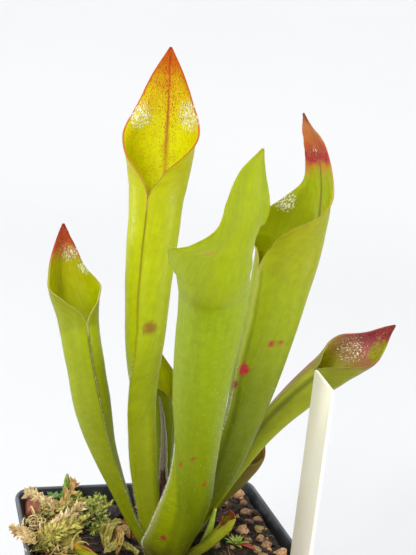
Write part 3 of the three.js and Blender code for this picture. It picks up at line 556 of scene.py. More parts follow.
LEANING = [
    (5.6, 8.2, 60.5, 1.3, 196, 180, 0.3),
    (10.8, 10.4, 66, 1.7, 196, 180, 0.6),
    (18, 11.6, 77, 2.3, 196, 180, 1.0),
    (26, 13, 88.4, 2.9, 196, 180, 1.2),
    (34.6, 15, 98.2, 3.8, 198, 180, 1.4),
    (42.6, 16.2, 105.7, 4.7, 200, 180, 1.4),
    (50, 16.4, 112.5, 5.4, 200, 180, 0.9),
    (54.2, 16.2, 116, 5.9, 200, 148, 0.6),
    (57.7, 15.8, 119.4, 6.5, 203, 122, 0.3),
    (61, 15, 123.3, 6.3, 212, 102, 0.1),
    (64, 13.7, 127.4, 3.8, 227, 82, 0),
    (66.4, 12.5, 130.8, 1.7, 234, 60, 0),
    (68.3, 11.5, 133, 0.3, 238, 40, 0),
]
BACK = [
    (1.8, 9.6, 60.5, 1.3, 285, 180, 0.3),
    (2.0, 15, 72, 1.7, 285, 180, 0.8),
    (2.6, 21.3, 83, 2.6, 285, 180, 0.8),
    (2.9, 26.3, 94, 3.4, 285, 180, 0.6),
    (2.6, 29.4, 103, 3.9, 284, 180, 0.4),
    (2.0, 31, 108.5, 4.4, 282, 136, 0.5),
    (1.3, 31.2, 113, 3.7, 280, 96, 0.3),
    (0.6, 29.8, 117, 2.1, 280, 70, 0.1),
    (0, 27.6, 120.5, 0.3, 280, 40, 0),
]
SMALL_RED = [
    (4.6, 10.6, 60.5, 1.1, 205, 180, 0.3),
    (14.6, 15, 69.5, 1.5, 205, 180, 0.5),
    (23, 17.5, 76, 2.0, 206, 180, 0.6),
    (29.2, 19.3, 81, 2.5, 207, 180, 0.4),
    (32.9, 20.7, 84.6, 2.7, 208, 132, 0.4),
    (35, 21.3, 88, 2.0, 208, 95, 0.2),
    (35.2, 21, 91, 0.3, 208, 45, 0),
]
YOUNG_RIGHT = [
    (5.4, 1.2, 60.5, 1.0, 206, 180, 0.2),
    (8.5, -0.8, 68.6, 1.4, 206, 180, 0.3),
    (13.5, -0.3, 71.6, 1.6, 206, 180, 0.3),
    (17.9, 1.1, 74.4, 1.9, 206, 180, 0.3),
    (19.4, 1.5, 76, 2.1, 207, 152, 0.3),
    (20.4, 2.2, 77.6, 2.0, 208, 112, 0.2),
    (20.2, 2.4, 79.2, 1.3, 208, 75, 0.1),
    (18.8, 2.2, 80.4, 0.3, 208, 50, 0),
]
YOUNG_LEFT = [
    (-2.2, 0.6, 60.5, 1.0, 395, 180, 0.2),
    (-11.7, -4.5, 66.6, 1.3, 385, 180, 0.2),
    (-17.6, -4.9, 68.2, 1.4, 365, 180, 0.2),
    (-21.3, -3.3, 69.8, 1.5, 342, 180, 0.2),
    (-23.6, -1.7, 71.4, 1.5, 325, 140, 0.2),
    (-24.8, -0.4, 72.8, 1.2, 312, 95, 0.1),
    (-25.4, 0.4, 74.2, 0.3, 304, 50, 0),
]

SECTION_DEPTH = 0.9
KEEL_START = 0.72
KEEL_SHARPNESS = 1.5
SKIN = 0.38
MARGIN = 0.15
MARGIN_REACH = 2.6
TUBE_STEP, HOOD_STEP = 0.9, 0.8
LEAF_SHIFT, LINING_SHIFT = 17.0, 40


def smooth_value(stations, values, at):
    """A smooth curve through values at uneven stations, read at many places."""
    stations = np.asarray(stations, float)
    values = np.asarray(values, float)
    slopes = np.empty(len(values))
    steps = np.diff(stations)
    rates = np.diff(values) / steps
    slopes[0] = rates[0]
    slopes[-1] = rates[-1]
    slopes[1:-1] = (rates[:-1] * steps[1:] + rates[1:] * steps[:-1]) / (steps[:-1] + steps[1:])
    i = np.clip(np.searchsorted(stations, at, side="left") - 1, 0, len(steps) - 1)
    u = (at - stations[i]) / steps[i]
    u2, u3 = u * u, u * u * u
    return ((2 * u3 - 3 * u2 + 1) * values[i] + (u3 - 2 * u2 + u) * steps[i] * slopes[i]
            + (3 * u2 - 2 * u3) * values[i + 1] + (u3 - u2) * steps[i] * slopes[i + 1])


class Leaf:
    """A rolled leaf: places along its midrib, and its section at each."""

    def __init__(self, rows):
        self.rows = np.array(rows, float)
        hops = np.linalg.norm(np.diff(self.rows[:, :3], axis=0), axis=1)
        self.stations = np.concatenate([[0], np.cumsum(hops)])
        self.total = self.stations[-1]
        closed = int(np.sum(self.rows[:, 5] == 180))
        self.mouth = self.stations[closed - 1]

    def read(self, column, s):
        return smooth_value(self.stations, self.rows[:, column], s)

    def place(self, s):
        return np.stack([self.read(k, s) for k in range(3)], -1)

    def sections(self, s):
        s = np.asarray(s, float)
        ahead = self.place(np.minimum(s + 0.2, self.total))
        along = unit(ahead - self.place(np.maximum(s - 0.2, 0)))
        bearing = np.radians(self.read(4, s))
        back = np.stack([-np.cos(bearing), -np.sin(bearing), np.zeros_like(s)], -1)
        back = unit(back - along * np.sum(back * along, -1, keepdims=True))
        side = np.cross(back, along)
        angle = np.radians(np.clip(self.read(5, s), 3, 180))
        wrap = np.where(s <= self.mouth, math.pi, angle)
        width = np.maximum(self.read(3, s), 0.2) / np.sin(np.minimum(wrap, math.pi / 2))
        lip = np.maximum(self.read(6, s), 0)
        return self.place(s), back, side, wrap, width, lip

    def surface(self, s, t, inset=0.0, lip_share=1.0):
        """Points of the blade for places s along it and shares t across it."""
        middle, back, side, wrap, width, lip = self.sections(s)
        wrap, width, lip = wrap[:, None], width[:, None], lip[:, None] * np.ones((len(s), 1))
        lip = lip * np.reshape(lip_share, (-1, 1))
        depth = width * SECTION_DEPTH
        thick = np.minimum(inset, 0.6 * depth)
        share = np.abs(t)[None, :]
        edge = np.clip((share - KEEL_START) / (1 - KEEL_START), 0, None) ** KEEL_SHARPNESS
        angle = wrap * t[None, :]
        across = (width - thick) * np.sin(angle) + lip * edge * np.sin(wrap) * np.sign(t)
        deep = (depth - thick) * np.cos(angle) - depth + lip * edge * np.cos(wrap)
        ended = (share == 1) & (wrap == math.pi)
        across = np.where(ended, 0.0, across)
        out_across = -np.gradient(deep, t, axis=1)
        out_deep = np.gradient(across, t, axis=1)
        length = np.maximum(np.hypot(out_across, out_deep), 1e-9)
        reach = MARGIN_REACH * MARGIN / np.maximum(wrap * width, 1e-6)
        swell = MARGIN * np.sin(math.pi * np.clip((1 - share) / reach, 0, 1)) ** 0.8
        swell = np.where(inset > 0, -0.5 * swell, swell)
        across = across + swell * out_across / length
        deep = deep + swell * out_deep / length
        return (middle[:, None] + across[..., None] * side[:, None]
                + deep[..., None] * back[:, None])


def spread(low, high, size):
    """Even steps of about that size."""
    return np.linspace(low, high, max(int(round((high - low) / size)), 1) + 1)


def strip_faces(a, b, flip=False):
    """Quads between two index rows of equal length, or between many pairs of rows."""
    quads = np.stack([a[..., :-1], a[..., 1:], b[..., 1:], b[..., :-1]], -1).reshape(-1, 4)
    return (quads[:, ::-1] if flip else quads).tolist()


def leaf_columns(fine):
    """Shares across the blade, closer together near its edges."""
    half = np.concatenate([np.linspace(0, 0.8, int(15 / fine)),
                           np.linspace(0.82, 1, int(14 / fine))])
    return np.concatenate([-half[:0:-1], half])


def leaf_rows(leaf, fine):
    """Places along the leaf, with one right at the mouth."""
    return np.concatenate([spread(0, leaf.mouth, TUBE_STEP * fine)[:-1],
                           spread(leaf.mouth, leaf.total, HOOD_STEP * fine)])


def roughen(leaf, grid, s, rough_tip, seed):
    """The blade's points as one list, each a little in or out, and crumpled at the tip."""
    points, columns = grid.reshape(-1, 3), grid.shape[1]
    tip = ramp(s, leaf.mouth + 0.6 * (leaf.total - leaf.mouth), leaf.total)
    uneven = 0.16 * wobble(points, 7, seed) + 0.05 * wobble(points, 1.8, seed + 1)
    crumple = rough_tip * np.repeat(tip, columns) * wobble(points, 1.7, seed + 2)
    centre = np.repeat(leaf.place(s), columns, axis=0)
    lift = np.repeat(np.minimum(leaf.sections(s)[4], 4) / 4, columns)
    return points + unit(points - centre) * (lift * (uneven + crumple))[:, None]


def rolled_margin(outer, inner, beside):
    """Three lines of points that roll the margin over from the outer to the inner skin."""
    thick = np.linalg.norm(outer - inner, axis=1, keepdims=True)
    bulge = unit(outer - beside) * 0.45 * thick
    return np.concatenate([outer + (inner - outer) * u + bulge * math.sin(math.pi * u)
                           for u in (0.25, 0.5, 0.75)])


def build_leaf(name, rows, paint, hollow_row, slot, node, fine, rough_tip, seed):
    """The leaf as one skin: outside, inside from the hollow's floor, and a rolled margin.

    The grid that its patterns follow is shifted from leaf to leaf and from outside to inside.
    """
    leaf = Leaf(rows)
    t = leaf_columns(fine)
    s_out = leaf_rows(leaf, fine)
    s_in = s_out[s_out >= leaf.stations[hollow_row] - 0.5]
    lip_share = ramp(s_in, leaf.mouth - 5, leaf.mouth)
    outside = roughen(leaf, leaf.surface(s_out, t), s_out, rough_tip, seed)
    inside = roughen(leaf, leaf.surface(s_in, t, SKIN, lip_share), s_in, rough_tip, seed)
    index_out = np.arange(len(outside)).reshape(-1, len(t))
    index_in = np.arange(len(inside)).reshape(-1, len(t)) + len(outside)
    points = np.concatenate([outside, inside])
    data = [(np.repeat(s_out, len(t)), np.tile(t, len(s_out)), np.zeros(len(outside))),
            (np.repeat(s_in, len(t)), np.tile(t, len(s_in)), np.ones(len(inside)))]
    faces = strip_faces(index_out[:-1], index_out[1:], flip=True)
    faces += strip_faces(index_in[:-1], index_in[1:])
    faces.append(index_out[0].tolist())
    faces.append(index_in[0][::-1].tolist())
    rim_out = np.flatnonzero(s_out >= leaf.mouth - 1e-6)
    rim_in = rim_out - (len(s_out) - len(s_in))
    for column, neighbour, flip in ((0, 1, False), (-1, -2, True)):
        outer, inner = index_out[rim_out, column], index_in[rim_in, column]
        beside = index_out[rim_out, neighbour]
        margin = rolled_margin(points[outer], points[inner], points[beside])
        lines = np.arange(len(margin)).reshape(3, -1) + len(points)
        across = np.stack([outer, *lines, inner])
        faces += strip_faces(across[:-1], across[1:], flip)
        points = np.concatenate([points, margin])
        data.append((np.tile(s_out[rim_out], 3), np.full(len(margin), t[column]),
                     np.full(len(margin), 0.5)))
    faces += strip_faces(index_out[-1], index_in[-1])
    s, t_all, lining = (np.concatenate(values) for values in zip(*data))
    colour, marks = paint(SkinPlaces(leaf, s, t_all, lining, points))
    girth = leaf.read(3, s) * math.pi
    grid = np.stack([t_all * girth, s, LEAF_SHIFT * seed + LINING_SHIFT * (lining > 0.75)], -1)
    bag = Bag()
    bag.add(points, faces, colour)
    weld(bag.build(name, LEAF, slot, node, extra={"grid": grid, **marks}))
    return leaf


def weld(piece):
    """Joins points that lie on one another, as at the keel and the tip."""
    work = bmesh.new()
    work.from_mesh(piece.data)
    bmesh.ops.remove_doubles(work, verts=work.verts, dist=1e-6)
    bmesh.ops.dissolve_degenerate(work, edges=work.edges, dist=1e-7)
    work.to_mesh(piece.data)
    work.free()


# How the leaves are coloured

FOOT_COLOUR = (112, 92, 40)
CRIMSON = (190, 22, 56)
RIM_WIDTH = 0.32
INSIDE_GLOW, OUTSIDE_SHADE = 0.9, 0.67


class SkinPlaces:
    """Where each point of a leaf's skin lies on the leaf."""

    def __init__(self, leaf, s, t, lining_share, points):
        half_girth = leaf.read(3, s) * math.pi
        self.s = s
        self.t = t
        self.points = points
        self.up = s / leaf.mouth
        self.climb = (s - leaf.mouth) / (leaf.total - leaf.mouth) + 0.05 * wobble(points, 3, 1.7)
        self.on_tube = s < leaf.mouth
        self.by_mouth = s > leaf.mouth - 2
        self.inside = lining_share > 0.4
        self.from_midrib = np.abs(t) * half_girth
        self.from_edge = (1 - np.abs(t)) * half_girth

    def away_from(self, place):
        return np.linalg.norm(self.points - np.array(place), axis=1)


# Bands along one side of the tube: the green ones are painted sheen, the red-brown ones the leaf's
# own flush
def banded(colour, at, flush_and_sheen_bands):
    for side, band, strength in flush_and_sheen_bands:
        share = ramp(side * at.t, 0.25, 0.5) * ramp(side * at.t, 0.98, 0.7) * ~at.inside
        colour = mix(colour, linear(band), strength * share * ramp(at.up, 0.3, 0.6))
    return colour


def winged(colour, at, wing):
    share = ramp(np.abs(at.t), 0.78, 0.86) * ramp(at.up, 0.66, 0.5) * ramp(at.up, 0.02, 0.15)
    return mix(colour, linear(wing), 0.85 * share)


def seamed(colour, at, seam, start, width, painted_groove_shade):
    """A line along the tube's keel, and painted shade beside it on one side, as of a groove."""
    beside = ramp(at.from_edge, 2.6, 1.7) * ramp(at.from_edge, 0.9, 1.5) * (at.t > 0)
    # Painted shade: the tube is darkened on one side of its keel
    colour = colour * (1 - painted_groove_shade * beside * at.on_tube * ~at.inside)[:, None]
    strength = at.on_tube * ramp(at.from_edge, width, 0.3 * width)
    return mix(colour, linear(seam), 0.8 * strength * ramp(at.up, start, 1))


def ribbed(colour, at, midrib, width):
    """A line up the middle of the lining that widens towards the tip."""
    edge = width * (0.35 + 0.65 * ramp(at.climb, 0, 0.7))
    strength = ramp(at.from_midrib / edge, 1, 0.35) * ramp(at.climb, -0.1, 0.6)
    return mix(colour, linear(midrib), 0.85 * strength * at.inside)


def spotted(colour, at, spots):
    """Ragged spots, each a place, a radius and a colour."""
    for place, radius, spot in spots:
        away = at.away_from(place) * (1 + 0.45 * wobble(at.points, 1.1, 5.0))
        colour = mix(colour, linear(spot), 0.92 * ramp(away, radius, 0.5 * radius))
    return colour


def surface_marks(at, freckles, net, wet_and_painted_glints, wrinkled):
    """The shares that the leaf material reads at each point."""
    # Wet patches: glossy, and painted with glints by the leaf material
    gloss_and_glints = np.zeros(len(at.s))
    for place, radius, share in wet_and_painted_glints:
        gloss_and_glints = np.maximum(gloss_and_glints, share * ramp(at.away_from(place), radius, 0.1 * radius))
    centred = ramp(at.from_midrib, 7, 0.5)
    dense = 0.34 + 0.5 * ramp(at.climb, 0.3, 0.9) + 0.2 * centred * ramp(at.climb, 0, 0.5)
    folded = ramp(at.climb, 0.6, 0.74) * ramp(np.abs(at.t), 1.0, 0.85)
    return {
        "freckle": freckles * at.inside * ramp(at.climb, -0.25, 0.1) * dense,
        "net": net * (0.4 + 0.6 * at.inside),
        "wet_and_painted_glints": at.inside * gloss_and_glints,
        "wrinkle": at.inside * wrinkled * folded,
    }


def painter(tube, hood, lining, rim, seam=None, seam_start=0.3, seam_width=1.1, midrib=None,
            midrib_width=0.9, freckles=0.0, net=0.3, wet_and_painted_glints=(), wrinkled=0.0, wing=None,
            painted_crease_shade=0.0, painted_groove_shade=0.0, spots=(), flush_and_sheen_bands=()):
    """Colours and surface marks for one leaf.

    tube holds stops, each a place and its colour, from the foot (0) to the mouth (1); hood
    and lining, outside and inside, and rim from the mouth (0) to the tip (1). wing colours
    the keel on the tube's lower part. The crease strength darkens the lining on the leaf's left,
    as painted shade of a fold; the groove strength darkens the tube beside its keel, as painted
    shade. wet holds (place, radius, share) of glossy patches inside, which also get painted glints.
    spots are (place, radius, colour). bands are (side, colour, strength) along one side of the tube,
    -1 for its left and 1 for its right as the leaf faces: the green ones are painted sheen, the
    red-brown ones the leaf's own flush.
    """
    def paint(at):
        outer = np.where(at.on_tube[:, None], graded(at.up, tube), graded(at.climb, hood))
        outer = mix(linear(FOOT_COLOUR), outer, ramp(at.s, 2, 16))
        colour = np.where(at.inside[:, None], graded(at.climb, lining), outer)
        colour = banded(colour, at, flush_and_sheen_bands)
        if wing:
            colour = winged(colour, at, wing)
        if seam:
            colour = seamed(colour, at, seam, seam_start, seam_width, painted_groove_shade)
        if midrib:
            colour = ribbed(colour, at, midrib, midrib_width)
        # Painted shade: the lining on the leaf's left is darkened, as if a fold shaded it
        shade = painted_crease_shade * at.inside * ramp(at.t, 0.02, -0.03) * ramp(at.climb, 0.95, 0.8)
        colour = colour * (1 - shade)[:, None]
        edge = ramp(at.from_edge, RIM_WIDTH, 0.4 * RIM_WIDTH) * at.by_mouth
        colour = mix(colour, graded(at.climb, rim), 0.85 * edge * ramp(at.climb, 1.0, 0.85))
        colour = spotted(colour, at, spots)
        glow = np.where(at.inside, INSIDE_GLOW, OUTSIDE_SHADE)
        marks = surface_marks(at, freckles, net, wet_and_painted_glints, wrinkled)
        return np.clip(colour * glow[:, None], 0, 1), marks
    return paint


PAINT = {
    "tall": painter(
        tube=((0, 140, 146, 10), (0.3, 160, 170, 4), (0.55, 174, 188, 2), (0.85, 206, 216, 2),
              (1, 208, 216, 4)),
        hood=((0, 206, 212, 8), (0.6, 216, 204, 12), (0.85, 200, 128, 12), (1, 160, 44, 14)),
        lining=((-0.3, 204, 214, 2), (0, 224, 230, 2), (0.25, 222, 226, 4), (0.5, 224, 222, 10),
                (0.72, 218, 198, 8), (0.88, 202, 138, 10), (0.96, 184, 84, 12), (1, 150, 34, 14)),
        rim=((0, 216, 158, 100), (0.3, 212, 96, 60), (0.8, 204, 62, 24), (1, 176, 40, 20)),
        seam=(120, 76, 14), seam_start=0.3, seam_width=0.4, midrib=(160, 26, 16), midrib_width=1.1,
        freckles=1.0, net=0.15,
        wet_and_painted_glints=[((-10.0, 29.4, 187.0), 8, 1.0), ((2.4, 23.8, 188.4), 9.5, 0.95)],
        spots=[((-6.9, 10.0, 132.0), 2.4, (164, 120, 44))],
        flush_and_sheen_bands=[(1, (172, 188, 60), 0.3)]),
    "left": painter(
        tube=((0, 124, 132, 8), (0.3, 138, 148, 8), (0.6, 156, 168, 8), (0.9, 172, 186, 10),
              (1, 174, 188, 8)),
        hood=((0, 158, 170, 12), (0.6, 168, 166, 14), (0.78, 196, 90, 26), (1, 160, 44, 18)),
        lining=((-0.3, 140, 156, 4), (0.2, 178, 192, 4), (0.62, 186, 188, 8), (0.74, 206, 128, 30),
                (0.82, 196, 76, 30), (1, 150, 44, 18)),
        rim=((0, 214, 208, 120), (0.6, 186, 180, 60), (0.75, 200, 84, 60), (1, 150, 44, 20)),
        seam=(112, 108, 22), seam_width=0.6, freckles=0.25, net=0.25, wrinkled=1.0,
        wet_and_painted_glints=[((-23.4, 25.6, 144.6), 4, 1.0), ((-27.4, 26.1, 148.2), 5.5, 0.9)],
        painted_crease_shade=0.2, flush_and_sheen_bands=[(-1, (172, 184, 70), 0.3)]),
    "front": painter(
        tube=((0, 150, 130, 8), (0.12, 132, 140, 10), (0.3, 126, 142, 12), (0.5, 144, 162, 2),
              (0.75, 158, 180, 2), (1, 168, 190, 4)),
        hood=((0, 166, 184, 6), (0.4, 174, 192, 6), (0.9, 180, 200, 8), (1, 186, 190, 30)),
        lining=((-0.3, 150, 164, 4), (0.3, 168, 186, 6), (1, 180, 196, 10)),
        rim=((0, 202, 202, 90), (1, 196, 206, 60)), seam=(214, 212, 150), seam_start=-0.4,
        seam_width=0.6, net=0.2, wing=(164, 178, 10),
        spots=[((-2.3, -14.5, 103.3), 0.9, CRIMSON), ((-0.1, -18.5, 106.4), 0.7, CRIMSON),
               ((4.4, -15.5, 97.9), 1.1, (190, 60, 40)), ((-1.3, -2.6, 75.6), 1.3, CRIMSON),
               ((-9.5, -43.6, 164.6), 0.8, (186, 150, 60))],
        flush_and_sheen_bands=[(-1, (160, 178, 40), 0.3), (1, (156, 172, 60), 0.35)]),
    "right": painter(
        tube=((0, 106, 114, 8), (0.25, 100, 110, 2), (0.6, 124, 140, 2), (0.85, 164, 180, 2),
              (1, 174, 188, 2)),
        hood=((0, 176, 184, 8), (0.6, 184, 186, 20), (0.7, 190, 60, 64), (0.8, 186, 104, 50),
              (1, 140, 72, 36)),
        lining=((-0.3, 146, 160, 4), (0.1, 158, 174, 2), (0.62, 158, 174, 4), (0.68, 196, 146, 24),
                (0.72, 176, 16, 44), (0.76, 172, 44, 40), (0.82, 198, 106, 40),
                (0.93, 208, 128, 60), (1, 150, 78, 36)),
        rim=((0, 204, 184, 84), (0.6, 204, 172, 70), (0.75, 190, 60, 60), (0.85, 206, 140, 80),
             (1, 140, 80, 44)),
        seam=(190, 196, 80), midrib=(92, 74, 12), midrib_width=0.6, freckles=0.15, net=0.35,
        wet_and_painted_glints=[((35.2, 27.9, 166.0), 7, 1.0), ((40, 21, 182), 3, 0.75)], wrinkled=0.7, painted_groove_shade=0.25,
        spots=[((20.1, 6.6, 121.0), 2.2, CRIMSON), ((18.1, 7.9, 116.4), 1.5, (150, 30, 40)),
               ((18.8, 7.4, 113.6), 1.1, CRIMSON), ((26.2, 4.6, 129.2), 1.1, CRIMSON),
               ((29.4, 4.4, 129.7), 0.9, CRIMSON)],
        flush_and_sheen_bands=[(1, (166, 178, 60), 0.25)]),
    "leaning": painter(
        tube=((0, 116, 126, 16), (0.4, 146, 158, 12), (0.75, 164, 172, 30), (1, 170, 176, 40)),
        hood=((0, 156, 162, 36), (0.35, 160, 164, 40), (0.6, 166, 110, 80), (1, 140, 56, 44)),
        lining=((-0.3, 132, 144, 10), (0.22, 162, 172, 14), (0.4, 178, 146, 76),
                (0.58, 184, 108, 100), (0.75, 150, 50, 72), (1, 128, 46, 36)),
        rim=((0, 186, 172, 96), (0.35, 180, 156, 84), (0.6, 168, 96, 76), (1, 136, 52, 40)),
        seam=(206, 210, 60), seam_start=-0.5, freckles=0.35, net=0.3, wrinkled=0.5, painted_groove_shade=0.4,
        wet_and_painted_glints=[((57.5, 17.2, 124.2), 12, 0.74)],
        spots=[((64.5, 10.6, 124.0), 5.2, (160, 172, 20))],
        flush_and_sheen_bands=[(-1, (186, 104, 84), 0.9)]),
    "back": painter(
        tube=((0, 108, 122, 8), (0.5, 132, 148, 4), (1, 146, 162, 4)),
        hood=((0, 146, 162, 4), (1, 164, 160, 20)),
        lining=((0, 196, 216, 6), (1, 200, 216, 10)),
        rim=((0, 186, 176, 90), (1, 196, 160, 60))),
    "small_red": painter(
        tube=((0, 104, 96, 26), (0.6, 108, 102, 28), (1, 112, 104, 30)),
        hood=((0, 112, 104, 30), (1, 126, 96, 36)),
        lining=((0, 140, 128, 40), (1, 140, 120, 40)), rim=((0, 150, 156, 50), (1, 120, 90, 40)),
        flush_and_sheen_bands=[(-1, (118, 66, 44), 0.7)]),
    "young_right": painter(
        tube=((0, 152, 156, 24), (0.6, 172, 180, 28), (1, 182, 188, 34)),
        hood=((0, 182, 188, 34), (0.7, 184, 170, 40), (1, 176, 50, 54)),
        lining=((0, 160, 164, 20), (0.6, 170, 150, 30), (1, 172, 46, 50)),
        rim=((0, 184, 52, 60), (1, 176, 36, 50))),
    "young_left": painter(
        tube=((0, 128, 140, 18), (0.6, 148, 162, 20), (1, 160, 172, 24)),
        hood=((0, 160, 172, 24), (0.9, 172, 174, 30), (1, 190, 130, 40)),
        lining=((0, 160, 172, 20), (0.9, 172, 174, 26), (1, 190, 130, 36)),
        rim=((0, 214, 128, 60), (1, 204, 92, 44))),
}


def dress_leaves():
    """Builds each leaf from a plan.

    A plan holds the piece's name, the leaf's rows, its colours, the row where the hollow
    starts, the slot, the node, how coarse the mesh is and how crumpled the tip.
    """
    plans = [
        ("leaf_front", FRONT, "front", 3, "leaf_green", "pitcher_front", 1.0, 0.0),
        ("leaf_tall", TALL, "tall", 5, "leaf_yellow", "pitcher_tall", 1.0, 0.0),
        ("leaf_right", RIGHT, "right", 3, "leaf_green", "pitcher_right", 1.0, 0.5),
        ("leaf_left", LEFT, "left", 4, "leaf_green", "pitcher_left", 1.0, 0.3),
        ("leaf_leaning", LEANING, "leaning", 3, "leaf_purple", "pitcher_leaning", 1.0, 0.25),
        ("leaf_back", BACK, "back", 2, "leaf_green", "pitcher_back", 1.4, 0.1),
        ("leaf_small_red", SMALL_RED, "small_red", 2, "leaf_red", "pitcher_small_red", 1.6, 0.1),
        ("leaf_young_right", YOUNG_RIGHT, "young_right", 2, "leaf_yellow",
         "pitcher_young_right", 1.6, 0),
        ("leaf_young_left", YOUNG_LEFT, "young_left", 2, "leaf_yellow",
         "pitcher_young_left", 1.6, 0),
    ]
    leaves = {}
    for seed, (name, rows, key, hollow_row, *settings) in enumerate(plans):
        leaves[key] = build_leaf(name, rows, PAINT[key], hollow_row, *settings, seed)
    return leaves


# Thin pieces: rods, blades and sheets

UP = np.array((0, 0, 1.0))
LEAF_TURN = 2.4
ANY_TURN = 6.3


def rod(path, radii, sides):
    """A closed round rod along points, with a radius at each point."""
    path = np.asarray(path, float)
    radii = np.broadcast_to(radii, len(path))
    along = unit(np.gradient(path, axis=0))
    side = unit(np.cross(along, (0.31, 0.17, 0.93)))
    over = np.cross(along, side)
    angle = np.arange(sides) * 2 * math.pi / sides
    ring = swing(side[:, None], over[:, None], angle)
    skin = (path[:, None] + ring * radii[:, None, None]).reshape(-1, 3)
    ends = [path[0] - 0.5 * radii[0] * along[0], path[-1] + 0.8 * radii[-1] * along[-1]]
    rows = np.arange(len(path) * sides).reshape(len(path), sides)
    after = np.roll(rows, -1, axis=1)
    a, b, c, d = rows[:-1].ravel(), after[:-1].ravel(), after[1:].ravel(), rows[1:].ravel()
    first, last = len(skin), len(skin) + 1
    faces = np.concatenate([
        np.stack([a, b, c], -1),
        np.stack([a, c, d], -1),
        np.stack([after[0], rows[0], np.full(sides, first)], -1),
        np.stack([rows[-1], after[-1], np.full(sides, last)], -1),
    ])
    return np.concatenate([skin, ends]), faces


LEAFLET_BELLY, LEAFLET_BACK = 0.12, 0.24
LEAFLET_FACES = np.array([
    (0, 4, 2), (0, 3, 4), (0, 5, 3), (0, 2, 5), (1, 2, 4), (1, 4, 3), (1, 3, 5), (1, 5, 2),
])


def add_copies(bag, corners, faces, colour):
    """Many small pieces with the same faces, from an array of the corners of each."""
    count, each = corners.shape[:2]
    index = faces[None] + each * np.arange(count)[:, None, None]
    colour = np.repeat(colour, each, axis=0) if np.ndim(colour) == 2 else colour
    bag.add(corners.reshape(-1, 3), index.reshape(-1, 3), colour)


def add_leaflets(bag, bases, ahead, up, lengths, widths, colours):
    """Many small closed leaves: a base, a tip, and an oval waist between them."""
    ahead = unit(ahead)
    side = unit(np.cross(ahead, up))
    over = np.cross(side, ahead)
    lengths, widths = np.asarray(lengths)[:, None], np.asarray(widths)[:, None]
    waist = bases + ahead * 0.4 * lengths
    corners = np.stack([
        bases, bases + ahead * lengths + over * 0.18 * lengths,
        waist + side * widths / 2, waist - side * widths / 2,
        waist + over * LEAFLET_BELLY * widths, waist - over * LEAFLET_BACK * widths,
    ], 1)
    add_copies(bag, corners, LEAFLET_FACES, colours)


def blade_grid(base, ahead, up, length, width, curl, fold, widest, rows, columns=5):
    """A pointed blade that bends towards up along its length, folded at its midrib."""
    ahead = unit(ahead)
    up = unit(up - ahead * np.dot(up, ahead))
    side = np.cross(ahead, up)
    u = np.linspace(0, 1, rows)
    course = swing(ahead, up, curl * u)
    over = swing(up, -ahead, curl * u)
    steps = np.concatenate([[(0, 0, 0)], np.cumsum(course[:-1], axis=0)])
    line = base + steps * length / (rows - 1)
    half = width / 2 * np.maximum(np.sin(math.pi * u ** (math.log(0.5) / math.log(widest))), 0.06)
    v = np.linspace(-1, 1, columns)
    return (line[:, None] + side * (half[:, None] * v)[..., None]
            + over[:, None] * (fold * half[:, None] * np.abs(v))[..., None])


def grid_faces(index):
    """Quads of a grid of point numbers."""
    corners = index[:-1, :-1], index[1:, :-1], index[1:, 1:], index[:-1, 1:]
    return np.stack(corners, -1).reshape(-1, 4)


def grid_border(index):
    """The point numbers once round the border of a grid."""
    return np.concatenate([index[:-1, 0], index[-1, :-1], index[:0:-1, -1], index[0, :0:-1]])


def ring_faces(a, b):
    """Quads between two closed rings of point numbers."""
    return np.stack([a, b, np.roll(b, -1), np.roll(a, -1)], -1)


def sheet(grid, thickness):
    """A thin closed sheet around a grid of points."""
    rows, columns = grid.shape[:2]
    normal = unit(np.cross(np.gradient(grid, axis=0), np.gradient(grid, axis=1)))
    top = (grid + normal * thickness / 2).reshape(-1, 3)
    bottom = (grid - normal * thickness / 2).reshape(-1, 3)
    index = np.arange(rows * columns).reshape(rows, columns)
    quads, edge = grid_faces(index), grid_border(index)
    under = rows * columns
    faces = [quads, quads[:, ::-1] + under, ring_faces(edge, edge + under)]
    return np.concatenate([top, bottom]), np.concatenate(faces)


def ball(detail):
    """A unit ball of triangles."""
    work = bmesh.new()
    bmesh.ops.create_icosphere(work, subdivisions=detail, radius=1)
    points = np.array([v.co[:] for v in work.verts])
    faces = np.array([[v.index for v in face.verts] for face in work.faces])
    work.free()
    return points, faces


def turns(yaw, tilt, roll):
    """Rotation matrices from angles about z, x and z again."""
    zero, one = np.zeros_like(yaw), np.ones_like(yaw)

    def about_z(angle):
        rows = [np.cos(angle), -np.sin(angle), zero, np.sin(angle), np.cos(angle), zero,
                zero, zero, one]
        return np.stack(rows, -1).reshape(-1, 3, 3)

    rows = [one, zero, zero, zero, np.cos(tilt), -np.sin(tilt), zero, np.sin(tilt), np.cos(tilt)]
    return about_z(yaw) @ np.stack(rows, -1).reshape(-1, 3, 3) @ about_z(roll)


def add_lumps(bag, places, sizes, squash, tilt, colours, detail, rough):
    """Many uneven lumps, each turned its own way."""
    base, faces = ball(detail)
    count = len(places)
    uneven = 1 + rough * rng.uniform(-1, 1, (count, len(base), 1))
    shape = base[None] * uneven * np.asarray(squash) * np.asarray(sizes)[:, None, None]
    turn = turns(rng.uniform(0, ANY_TURN, count), rng.uniform(-tilt, tilt, count),
                 rng.uniform(0, ANY_TURN, count))
    points = np.einsum("nij,nkj->nki", turn, shape) + np.asarray(places)[:, None]
    add_copies(bag, points, faces, colours)


def along_curve(course, count):
    """Evenly spread points on a smooth line through a few places."""
    course = np.asarray(course, float)
    hops = np.concatenate([[0], np.cumsum(np.linalg.norm(np.diff(course, axis=0), axis=1))])
    at = np.linspace(0, hops[-1], count)
    return np.stack([smooth_value(hops, course[:, k], at) for k in range(3)], -1)


